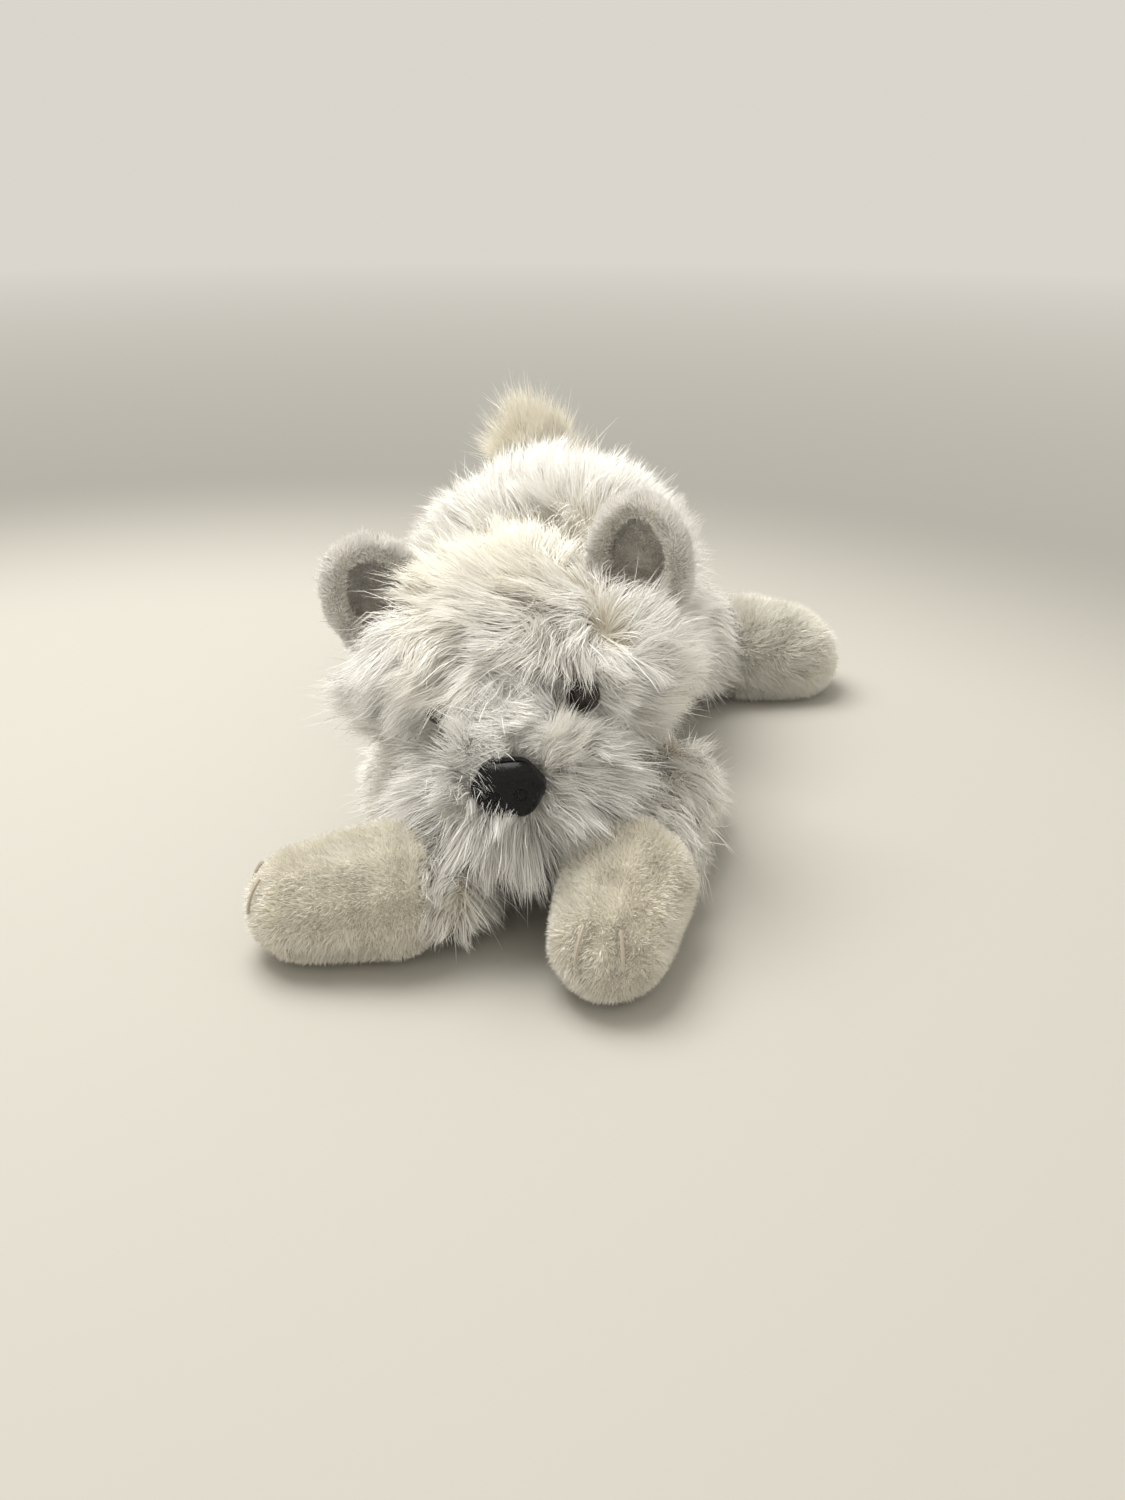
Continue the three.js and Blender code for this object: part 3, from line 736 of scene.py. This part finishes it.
# %% Head coat
FACE_STROKES = [
    # crown, from the front to the back
    ((0, 45, 40), (-0.5, -0.6, -0.1), 15),
    ((22, 55, 44), (-0.5, -0.4, 0.3), 15),
    ((-22, 55, 44), (-0.8, -0.2, 0.2), 15),
    ((0, 75, 50), (-0.3, 0.5, 0.6), 18),
    ((35, 85, 42), (0.5, 0.9, 0.1), 20),
    ((-35, 85, 42), (-0.6, 0.8, 0.1), 20),
    # brows
    ((-20, 32, 30), (-0.6, -0.4, -0.6), 11),
    ((-36, 42, 30), (-1.0, -0.2, -0.3), 13),
    ((-52, 52, 24), (-1.0, 0.1, -0.3), 14),
    ((16, 30, 30), (0.3, -0.5, 0.5), 9),
    ((30, 36, 34), (0.9, -0.2, 0.4), 11),
    ((30, 32, 22), (0.5, -0.3, -0.8), 8),
    ((52, 52, 26), (1.0, 0.1, -0.1), 15),
    ((0, 26, 20), (-0.05, 0.4, 1.0), 11),
    # cheeks
    ((-50, 50, 0), (-0.8, -0.1, -0.5), 22),
    ((52, 50, 0), (0.9, 0.0, -0.4), 22),
    ((-30, 35, -25), (-0.6, -0.3, -0.8), 20),
    ((32, 35, -25), (0.6, -0.2, -0.8), 20),
    # back of the head and under the chin
    ((0, 110, 20), (0.0, 1.0, -0.1), 30),
    ((0, 60, -35), (0.0, -0.1, -1.0), 25),
]
HEAD_STROKES = [(on_face(*where), face_way(*way), reach * MM) for where, way, reach in FACE_STROKES]


def steps(values, low, high):
    """Rises smoothly from 0 at low to 1 at high."""
    share = np.clip((values - low) / (high - low), 0, 1)
    return share * share * (3 - 2 * share)


def face_coordinates(places):
    return (places - nose) @ FACE.T / MM


EYE_OPEN = {"left": 0.0160, "right": 0.0150}   # how far round each eye the pile is pushed away
BROW_HANG = {"left": 0.45, "right": 0.8}       # how much of that push the brow above is spared
PILE_AT_NOSE, PILE_RISE = 9, 20                # millimetres, as are the next three
BEARD_MORE, LONGEST, BRIDGE_LESS = 31, 43, 10
MUZZLE_LEAN = 14                               # how much the muzzle's rays lean forwards round the nose


def head_style(roots, normals, rng):
    x, y, z = face_coordinates(roots).T   # millimetres from the nose, as are the bounds of the steps
    far = np.sqrt(x ** 2 + (0.8 * y) ** 2 + z ** 2)
    out = np.stack([x, 0.30 * y - MUZZLE_LEAN, z + 2], 1) @ FACE
    muzzle = (1 - steps(far, 32, 50)) * (1 - steps(z, 16, 26))
    ways = unit(combed(roots, HEAD_STROKES)) * (1 - muzzle[:, None]) + unit(out) * muzzle[:, None]
    ways = ways + ripples(roots, 0.026, 3) * (0.55 - 0.3 * muzzle)[:, None] + ripples(roots, 0.011, 4) * 0.25
    below = steps(-z, 2, 14) * (1 - steps(y, 45, 70))
    bridge = steps(z, 3, 10) * (1 - steps(z, 22, 32)) * (1 - steps(np.abs(x), 10, 22)) * (1 - steps(y, 30, 45))
    chin = below * (1 - steps(np.abs(x), 12, 40))
    lengths = np.minimum(PILE_AT_NOSE + PILE_RISE * steps(far, 11, 19) + BEARD_MORE * chin, LONGEST)
    lengths = lengths - BRIDGE_LESS * bridge
    for ear in EARS:
        gap = np.linalg.norm(roots - middle_of(f"{ear}_lining"), axis=1)
        lengths = lengths * (0.5 + 0.5 * steps(gap, 0.022, 0.034))
    lengths = lengths * rng.uniform(0.72, 1.12, len(roots)) * (1 + 0.14 * ripples(roots, 0.016, 5)[:, 0])
    crown = steps(z, 25, 45)
    lift = np.radians(46 - 22 * muzzle + 10 * crown) + rng.normal(0, 0.16, len(roots))
    lie = np.radians(13 + 16 * crown)
    warmth = 0.20 + 0.50 * crown * (1 - steps(np.abs(x), 10, 50)) - 0.12 * muzzle
    warmth = warmth + rng.normal(0, 0.15, len(roots)) + 0.12 * ripples(roots, 0.03, 8)[:, 1]
    under = steps(-(normals @ FACE[2]), 0.15, 0.8) * (1 - steps(y, 40, 65))
    lift = lift + np.radians(26) * under
    lie = lie + np.radians(30) * under
    for side, eye in eyes.items():
        gap = roots - eye
        near = np.exp(-(np.linalg.norm(gap, axis=1) / EYE_OPEN[side]) ** 2)
        near = near * (1 - BROW_HANG[side] * steps(gap @ FACE[2], 0.003, 0.008))
        ways = ways + unit(gap) * near[:, None] * 1.6
        lengths = lengths * (1 - 0.6 * near)
    return {
        "ways": ways, "lengths": lengths * MM, "lift": lift, "lie": lie,
        "droop": (0.20 + 0.30 * below)[:, None], "tuft_pull": 0.40, "lock_pull": 0.66, "wild": 0.0013,
        "width": rng.uniform(0.22, 0.40, len(roots)) * MM, "warmth": warmth,
    }


EYE_CLEAR = 0.0062
NOSE_ROOM = (1.15, 1.6, 0.9)      # the stretch of the bare ground under the nose, in the face's directions
NOSE_CLEAR = (0.0092, 0.0105)
MUZZLE_END, FACE_END = 32, 58     # how far behind the nose each piece of the coat ends, in millimetres


def clear_of_face(places, normals):
    """No pile under the nose and the eyes."""
    share = steps(np.linalg.norm((places - nose) @ FACE.T / np.array(NOSE_ROOM), axis=1), *NOSE_CLEAR)
    for eye in eyes.values():
        share *= steps(np.linalg.norm(places - eye, axis=1), EYE_CLEAR * 0.8, EYE_CLEAR)
    return share


def muzzle_part(places, normals):
    return clear_of_face(places, normals) * (face_coordinates(places)[:, 1] < MUZZLE_END)


def face_part(places, normals):
    y = face_coordinates(places)[:, 1]
    return clear_of_face(places, normals) * (y >= MUZZLE_END) * (y < FACE_END)


def crown_part(places, normals):
    return face_coordinates(places)[:, 1] >= FACE_END


head_skin = skins["head_skin"]
HEAD_RULES = {"style": head_style, "tuft": 170, "lock": 12}
for number, (name, part, strands) in enumerate([
    ("muzzle_coat", muzzle_part, 17000), ("face_coat", face_part, 27000), ("crown_coat", crown_part, 27000),
]):
    grow(name, head_skin, strands, {**HEAD_RULES, "share": part}, 21 + number)


# %% [markdown]
# A few fine strands from beside the nose have fallen across its front. They are a piece of their own, since
# they lie over the plastic and not with the comb.

# %% Wisps over the nose
WISPS = 46
WISP_RING = (11.0, 15.5)   # millimetres from the middle of the nose
WISP_SIDE, WISP_BACK = 6, 26


def wisp_style(roots, normals, rng):
    inwards = nose + face_way(0, -3, 3) * MM - roots
    return {
        "ways": inwards + rng.normal(0, 0.006, roots.shape), "lengths": rng.uniform(0.008, 0.013, len(roots)),
        "lift": math.radians(66) + rng.normal(0, 0.15, len(roots)), "lie": np.full(len(roots), -0.12),
        "droop": 0.1, "tuft_pull": 0.2, "lock_pull": 0.6, "wild": 0.0012,
        "width": rng.uniform(0.24, 0.34, len(roots)) * MM, "warmth": np.full(len(roots), 0.1), "stray": 0.0,
    }


def nose_edge(places, normals):
    x, y, z = face_coordinates(places).T
    gap = np.hypot(x, z)
    return (gap > WISP_RING[0]) * (gap < WISP_RING[1]) * (np.abs(x) > WISP_SIDE) * (y < WISP_BACK)


grow("nose_wisps", head_skin, WISPS, {"style": wisp_style, "share": nose_edge, "tuft": 9, "lock": 4}, 27)


# %% [markdown]
# The back's pile runs from the neck to the tail and falls down the sides. It stands up more than the head's,
# as it is thick and fluffy there, and is short only where the body lies on the table. The coat is in a left
# and a right piece, so that neither of them grows too heavy.

# %% Torso coat
BACK_PILE = 0.027
UNDERSIDE = (-0.7, -0.2)   # how far down the normals point where the pile thins out
UNDER_SHARE = 0.15         # how much of it is left there


def thinned(normals, least):
    """How thick the pile is: whole on top, and down to least where the skin faces the table."""
    return least + (1 - least) * steps(normals[:, 2], *UNDERSIDE)


def torso_style(roots, normals, rng):
    x, y, z = (roots / MM).T
    side = np.clip(x / 60, -1, 1)
    ways = np.stack([side ** 3 * 0.9, 0.45 + 0.55 * steps(y, -20, 90), 0.15 - 0.9 * np.abs(side) ** 2], 1)
    ways = ways + ripples(roots, 0.045, 13) * 0.42 + ripples(roots, 0.02, 14) * 0.30
    lengths = BACK_PILE * rng.uniform(0.72, 1.15, len(roots)) * (1 + 0.14 * ripples(roots, 0.02, 15)[:, 0])
    lengths = lengths * (0.4 + 0.6 * steps(z, 6, 30))
    warmth = 0.22 + 0.25 * steps(y, 60, 120) + rng.normal(0, 0.15, len(roots))
    return {
        "ways": ways, "lengths": lengths, "lift": math.radians(70) + rng.normal(0, 0.2, len(roots)),
        "lie": np.full(len(roots), math.radians(36)), "droop": 0.12, "tuft_pull": 0.34, "lock_pull": 0.6,
        "wild": 0.0014, "width": rng.uniform(0.26, 0.46, len(roots)) * MM, "warmth": warmth,
    }


def on_left(places, normals):
    return (places[:, 0] >= 0) * thinned(normals, UNDER_SHARE)


def on_right(places, normals):
    return (places[:, 0] < 0) * thinned(normals, UNDER_SHARE)


TORSO_RULES = {"style": torso_style, "tuft": 150, "lock": 13}
for number, (name, part) in enumerate([("back_coat_left", on_left), ("back_coat_right", on_right)]):
    grow(name, skins["torso_skin"], 32000, {**TORSO_RULES, "share": part}, 31 + number, levels=4)

# %% [markdown]
# A leg is one stuffed tube. Down to the wrist or ankle it wears the long pile, and past the seam there the
# paw wears a short velvety one. Two stitches pulled through the toes draw the skin in, so the points near them
# are sunk by a smooth bell.

# %% Leg and paw coats
THREAD_RADIUS = 0.0012
STITCH_SINK = 0.0016
STITCH_REACH = 0.0030
VELVET_RISE = 0.0006
PAW_NEAR = 0.011     # the paw's skin lies no farther than this from its cover
LOOK_OUT = 0.02      # how far outside the skin the cover is looked for
SEAM_SHIFT = 0.002   # from the cover's hind edge to the seam
LEG_PILE = 0.022
HIND_VELVET, FORE_VELVET = 0.0080, 0.0034
LEG_STRANDS, PAW_STRANDS = 12000, 30000


def toe_threads(leg):
    return [f"{leg}_toe_thread_left", f"{leg}_toe_thread_right"]


def filled_paw(skin, leg, cover, past_seam):
    """Brings the paw's skin out to its cover, less the height of the velvet, and draws the toes in."""
    threads = [v.co for name in toe_threads(leg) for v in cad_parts[name].data.vertices]
    stitches = KDTree(len(threads))
    for number, place in enumerate(threads):
        stitches.insert(place, number)
    stitches.balance()
    for _ in range(2):
        places, normals = points_of(skin.data), normals_of(skin.data)
        for number, (place, normal) in enumerate(zip(places, normals)):
            if past_seam(place)[0] < SEAM_SHIFT / 2:
                continue
            met = cover.ray_cast(Vector(place + normal * LOOK_OUT), Vector(-normal), LOOK_OUT * 1.5)[0]
            if met is None:
                continue
            gap = max(stitches.find(met)[2] - THREAD_RADIUS, 0)
            depth = VELVET_RISE + STITCH_SINK * math.exp(-(gap / STITCH_REACH) ** 2)
            places[number] = np.array(met) - normal * depth
        place_points(skin.data, places)
        relax(skin.data, 2, 0.4)


def leg_coats(leg, seed):
    skin = skins[f"{leg}_skin"]
    paw = middle_of(paw_of(leg))
    toes = sum(middle_of(name) for name in toe_threads(leg)) / 2
    ahead = toes - paw
    ahead[2] = 0
    ahead = unit(ahead)
    # the seam is a plane across the paw, at the back of the paw's own cover
    cover = points_of(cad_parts[paw_of(leg)].data)
    seam = (cover @ ahead).min() + SEAM_SHIFT
    outwards = -1.0 if leg.endswith("right") else 1.0
    hind = leg.startswith("hind")
    paw_tree = BVHTree.FromObject(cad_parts[paw_of(leg)], bpy.context.evaluated_depsgraph_get())

    def past_seam(places):
        beyond = np.atleast_1d(places @ ahead - seam)
        gaps = np.array([paw_tree.find_nearest(place)[3] for place in np.atleast_2d(places)])
        return np.where(gaps < PAW_NEAR, beyond, -1.0)

    filled_paw(skin, leg, paw_tree, past_seam)

    def style(roots, normals, rng):
        near = 1 - steps(seam / MM - roots @ ahead / MM, 2, 24)
        out = unit((roots - middle_of(f"{leg}_sleeve")) * np.array([1, 1, 0]))
        ways = ahead * 0.55 + np.array([0.35 * outwards, 0, -0.45]) + out * 0.45
        ways = ways + ripples(roots, 0.03, seed) * 0.5 + ripples(roots, 0.012, seed + 3) * 0.25
        z = roots[:, 2] / MM
        lengths = LEG_PILE * rng.uniform(0.72, 1.15, len(roots)) * (0.45 + 0.55 * steps(z, 4, 20))
        return {
            "ways": ways, "lengths": lengths * (1 - 0.5 * near),
            "lift": math.radians(52) + rng.normal(0, 0.18, len(roots)),
            "lie": np.full(len(roots), math.radians(18)), "droop": 0.3, "tuft_pull": 0.28,
            "lock_pull": 0.6, "wild": 0.0013, "width": rng.uniform(0.24, 0.42, len(roots)) * MM,
            "warmth": 0.28 + rng.normal(0, 0.15, len(roots)),
        }

    def short_style(roots, normals, rng):
        ways = ahead * 0.5 + ripples(roots, 0.02, seed + 1) * 0.5 + rng.normal(0, 0.5, roots.shape)
        lengths = (HIND_VELVET if hind else FORE_VELVET) * rng.uniform(0.8, 1.15, len(roots))
        warmth = (0.1 if hind else 0.45) + 0.12 * ripples(roots, 0.03, seed + 2)[:, 0]
        warmth = warmth + rng.normal(0, 0.08, len(roots))
        return {
            "ways": ways, "lengths": lengths, "lift": math.radians(80) + rng.normal(0, 0.15, len(roots)),
            "lie": np.full(len(roots), math.radians(58)), "droop": 0.02, "tuft_pull": 0.05,
            "lock_pull": 0.25 if hind else 0.1, "wild": 0.0003,
            "width": rng.uniform(0.24, 0.36, len(roots)) * MM,
            "warmth": warmth, "roll": 1.5, "stray": 0.01, "wave": 0.0003,
        }

    def sleeve_share(places, normals):
        return (past_seam(places) < 0) * thinned(normals, 0.2)

    def paw_share(places, normals):
        return (past_seam(places) >= 0) * 1.0

    grow(f"{leg}_coat", skin, LEG_STRANDS, {"style": style, "share": sleeve_share, "tuft": 130, "lock": 13},
         seed, levels=4)
    grow(f"{leg}_paw_pile", skin, PAW_STRANDS, {"style": short_style, "share": paw_share, "tuft": 60, "lock": 6},
         seed + 5, levels=3, finish=SHORT_PILE)


for number, leg in enumerate(LEGS):
    leg_coats(leg, 41 + 10 * number)


# %% [markdown]
# The tail stands up over the rump, and its pile fans out like a brush. It is the warmest in colour of the
# coats, and it has more strays than the others.

# %% Tail coat
TAIL_PILE = 0.031
TAIL_WAY = (-0.25, 0.25, 0.85)
FAN_BELOW = 0.02   # the fan opens from a point this far down the tail from its middle


def tail_style(roots, normals, rng):
    axis = unit(np.array(TAIL_WAY))
    fan = unit(roots - (middle_of("tail_cover") - axis * FAN_BELOW))
    ways = axis * 0.7 + fan * 0.9 + ripples(roots, 0.02, 77) * 0.8
    return {
        "ways": ways, "lengths": TAIL_PILE * rng.uniform(0.5, 1.15, len(roots)),
        "lift": math.radians(52) + rng.normal(0, 0.22, len(roots)),
        "lie": np.full(len(roots), math.radians(26)), "droop": 0.05, "tuft_pull": 0.3, "lock_pull": 0.7,
        "wild": 0.0018, "width": rng.uniform(0.22, 0.38, len(roots)) * MM,
        "warmth": 0.85 + rng.normal(0, 0.1, len(roots)), "stray": 0.12,
    }


def everywhere(places, normals):
    return np.ones(len(places))


TAIL_RULES = {"style": tail_style, "share": everywhere, "tuft": 140, "lock": 12}
grow("tail_coat", skins["tail_skin"], 18000, TAIL_RULES, 91, levels=4)

# %% [markdown]
# An ear is a cupped flap: a back of short pile and a lining sewn to it and turned out, so that the rim is a
# thick roll. Both layers are remeshed together, which rounds the rim. The pile is short and dense. Inside the
# cup the lining has a warm tint of its own, and towards the bottom of the cup it is painted browner and darker
# as shade, where the light does not reach.

# %% Ears
EAR_SHRINK = {"ear_left": 0.98, "ear_right": 0.94}
LINING_PILE, FLAP_PILE = 0.0026, 0.0034


def ear_coats(ear, seed):
    skin = skins[f"{ear}_skin"]
    corner = points_of(skin.data)
    inner = np.abs(corner[:, 0]).min() * np.sign(corner[0, 0])
    root = np.array([inner, corner[:, 1].mean(), corner[:, 2].min()])
    place_points(skin.data, root + (corner - root) * EAR_SHRINK[ear])
    back_layer = points_of(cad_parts[f"{ear}_back"].data)
    middle = back_layer.mean(0)
    low, high = back_layer[:, 2].min(), back_layer[:, 2].max()

    def style(roots, normals, rng):
        up = (roots[:, 2] - low) / (high - low)
        inside = ((roots - middle) * normals).sum(1) < 0
        ways = unit(roots - middle) * 0.5 + np.array([0, 0, 1.0]) + ripples(roots, 0.015, seed) * 0.4
        lengths = np.where(inside, LINING_PILE, FLAP_PILE) * rng.uniform(0.75, 1.2, len(roots))
        return {
            "ways": ways, "lengths": lengths, "lift": math.radians(76) + rng.normal(0, 0.2, len(roots)),
            "lie": np.full(len(roots), math.radians(50)), "droop": 0.0, "tuft_pull": 0.1,
            "lock_pull": 0.4, "wild": 0.0004, "width": rng.uniform(0.25, 0.4, len(roots)) * MM,
            # inside the cup the colour turns browner and darker towards the bottom: the lining's own tint with
            # painted shade
            "warmth": 0.08 + inside * (0.08 + 0.8 * (1 - up) ** 2) + rng.normal(0, 0.06, len(roots)),
            "roll": 1.2, "wave": 0.0004,
        }

    grow(f"{ear}_pile", skin, 26000, {"style": style, "share": everywhere, "tuft": 60, "lock": 7},
         seed + 1, levels=3, finish=EAR_PILE)


for number, ear in enumerate(EARS):
    ear_coats(ear, 101 + number)

# %% [markdown]
# The nose is one moulding in glossy black plastic: a rounded six-sided front whose top edge leans back as a
# fine-grained facet, with two shallow ring nostrils. A six-sided prism is bevelled, then remeshed into fine
# even cells, so the facet and the rings can be sunk into its front point by point.

# %% Nose
NOSE_DEPTH = 0.010
NOSE_WIDER, NOSE_TALLER = 1.12, 1.08   # than the CAD nose, whose corners the bevel takes off
HEXAGON_FLAT = 0.866                   # half the width across the flats of a hexagon with corners at 1
NOSE_BEVEL = 0.0032
NOSE_CELL = 0.00042
FRONT_SHARE = (0.1, 0.5)               # of the depth, over which the front's shape fades out
FACET_DROP, FACET_SLOPE = 0.0045, 0.75
NOSE_BOW = 0.0012
RING_RADIUS, RING_DEPTH, RING_WALL = 0.0019, 0.0009, 0.00055
RINGS = ((-0.0045, -0.0012), (0.0045, -0.0012))
NOSE_SEAT = 0.0004                     # how far the moulding is pressed back into the face


def make_nose():
    low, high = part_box("nose")
    half_width = (high.x - low.x) / 2
    half_height = (high.z - low.z) / 2
    shape = bmesh.new()
    bmesh.ops.create_cone(shape, cap_ends=True, segments=6, radius1=1, radius2=1, depth=1)
    points = np.array([v.co for v in shape.verts])
    for vertex, (x, y, z) in zip(list(shape.verts), points):
        # the prism's axis runs front to back, its corners left and right
        vertex.co = (y * half_width * NOSE_WIDER, (z + 0.5) * NOSE_DEPTH,
                     x / HEXAGON_FLAT * half_height * NOSE_TALLER)
    bmesh.ops.recalc_face_normals(shape, faces=shape.faces)
    bmesh.ops.bevel(shape, geom=shape.edges[:], offset=NOSE_BEVEL, offset_type="OFFSET", affect="EDGES",
                    segments=5, profile=0.5, material=-1)
    piece = remeshed(linked("nose_moulding", mesh_of("nose_moulding", shape)), NOSE_CELL)
    relax(piece.data, RELAX_ROUNDS)
    shade_smooth(piece.data)
    co = points_of(piece.data).astype(float)
    front = 1 - steps(co[:, 1] / NOSE_DEPTH, *FRONT_SHARE)
    above = np.maximum(co[:, 2] - (half_height - FACET_DROP), 0)
    co[:, 1] += FACET_SLOPE * above * front
    co[:, 1] += NOSE_BOW * front * (co[:, 0] / half_width) ** 2
    for x, z in RINGS:
        gap = np.hypot(co[:, 0] - x, co[:, 2] - z)
        co[:, 1] += RING_DEPTH * np.exp(-((gap - RING_RADIUS) / RING_WALL) ** 2) * front
    place_points(piece.data, co @ FACE + nose + np.array([0, NOSE_SEAT, 0]))
    return piece


nose_piece = make_nose()
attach(nose_piece, "head")
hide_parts("nose")
NOSE_PLASTIC, nose_shader = new_finish("nose_plastic_gloss", Roughness=0.24, Specular_IOR_Level=0.2)
nose_grain = noise_of(NOSE_PLASTIC, 1500, 2.0)
mottle(NOSE_PLASTIC, nose_shader, nose_grain, (0.004, 0.004, 0.005), (0.011, 0.011, 0.012))
add_bump(NOSE_PLASTIC, nose_shader, nose_grain, 0.25, 0.00025)
nose_piece.data.materials.append(NOSE_PLASTIC)
print("nose:", len(nose_piece.data.polygons), "faces")


# %% [markdown]
# The eyes are small dark plastic domes, made without their shanks. They sit so deep in the pile that only a
# glint shows.

# %% Eyes
EYE_PLASTIC, eye_shader = new_finish("eye_plastic_dark", Roughness=0.12, Specular_IOR_Level=0.5)
mottle(EYE_PLASTIC, eye_shader, noise_of(EYE_PLASTIC, 300), (0.012, 0.009, 0.007), (0.03, 0.02, 0.014))


def make_eye(side):
    low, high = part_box(f"eye_{side}")
    radius = (high.x - low.x) / 2
    shape = bmesh.new()
    bmesh.ops.create_uvsphere(shape, u_segments=40, v_segments=24, radius=radius)
    centre = Vector(((low.x + high.x) / 2, low.y + radius, (low.z + high.z) / 2))
    bmesh.ops.translate(shape, verts=shape.verts, vec=centre)
    piece = linked(f"eye_{side}_dome", mesh_of(f"eye_{side}_dome", shape))
    shade_smooth(piece.data)
    piece.data.materials.append(EYE_PLASTIC)
    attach(piece, "head")
    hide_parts(f"eye_{side}")


for side in eyes:
    make_eye(side)
print("eyes made")

# %% [markdown]
# What the covers hide keeps its CAD shape, with the finish of the real thing: carded polyester fibre, the
# bags of plastic pellets, moulded washers, and the stitches in thread. The toe stitches' beige thread is
# painted darker with the shade of the pile round them.

# %% Finishes of the pieces inside
FIBRE = cloth_finish("polyester_fibre", (0.86, 0.86, 0.84), (0.70, 0.70, 0.68), 350.0)
BAG = cloth_finish("pellet_bag_cotton", (0.62, 0.58, 0.50), (0.50, 0.46, 0.39), 1200.0)
GUSSET = cloth_finish("collar_gusset", (0.80, 0.78, 0.71), (0.70, 0.67, 0.60))
PELLET = cloth_finish("pellet_plastic", (0.55, 0.56, 0.57), (0.30, 0.31, 0.32), 260.0)
WASHER = cloth_finish("washer_plastic", (0.75, 0.75, 0.74), (0.68, 0.68, 0.67), 500.0)
# toe stitches: a beige thread painted darker, as painted shade that matches the shaded pile round them
SHADED_THREAD = cloth_finish("stitch_thread_painted_shade", (0.62, 0.56, 0.47), (0.50, 0.44, 0.36), 2500.0)
MOUTH = cloth_finish("mouth_thread_brown", (0.30, 0.19, 0.14), (0.20, 0.12, 0.09), 2500.0)
INSIDE = [
    ("stuffing", FIBRE), ("bag", BAG), ("pouch", BAG), ("pellets", PELLET), ("washer", WASHER),
    ("collar", GUSSET), ("mouth_thread", MOUTH), ("toe_thread", SHADED_THREAD), ("_back", BACKING),
    ("lining", BACKING), ("cover", BACKING), ("sleeve", BACKING), ("panel", BACKING),
    ("nose", NOSE_PLASTIC), ("eye", EYE_PLASTIC),
]
for name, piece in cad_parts.items():
    finish = next(finish for word, finish in INSIDE if word in name)
    piece.data.materials.clear()
    piece.data.materials.append(finish)
print("finishes on", len(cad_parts), "CAD pieces")

# %% [markdown]
# Each skin moves with the body whose covers it replaces, and its pile moves with it. The covers are sewn
# round stuffing, which takes a little over half of what each of them encloses.

# %% Bodies and what each skin stands for
STANDS_FOR = {
    "torso": ("torso_skin", ["back_panel", "belly_panel"]),
    "head": ("head_skin", ["head_crown_cover", "head_chin_cover", "muzzle_cover"]),
    "tail": ("tail_skin", ["tail_cover"]),
    **{leg: (f"{leg}_skin", [f"{leg}_sleeve", paw_of(leg)]) for leg in LEGS},
    **{ear: (f"{ear}_skin", [f"{ear}_back", f"{ear}_lining"]) for ear in EARS},
}
for body, (name, nodes) in STANDS_FOR.items():
    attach(skins[name], body)
    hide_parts(*nodes)
print("skins stand for", sum(len(nodes) for name, nodes in STANDS_FOR.values()), "covers")
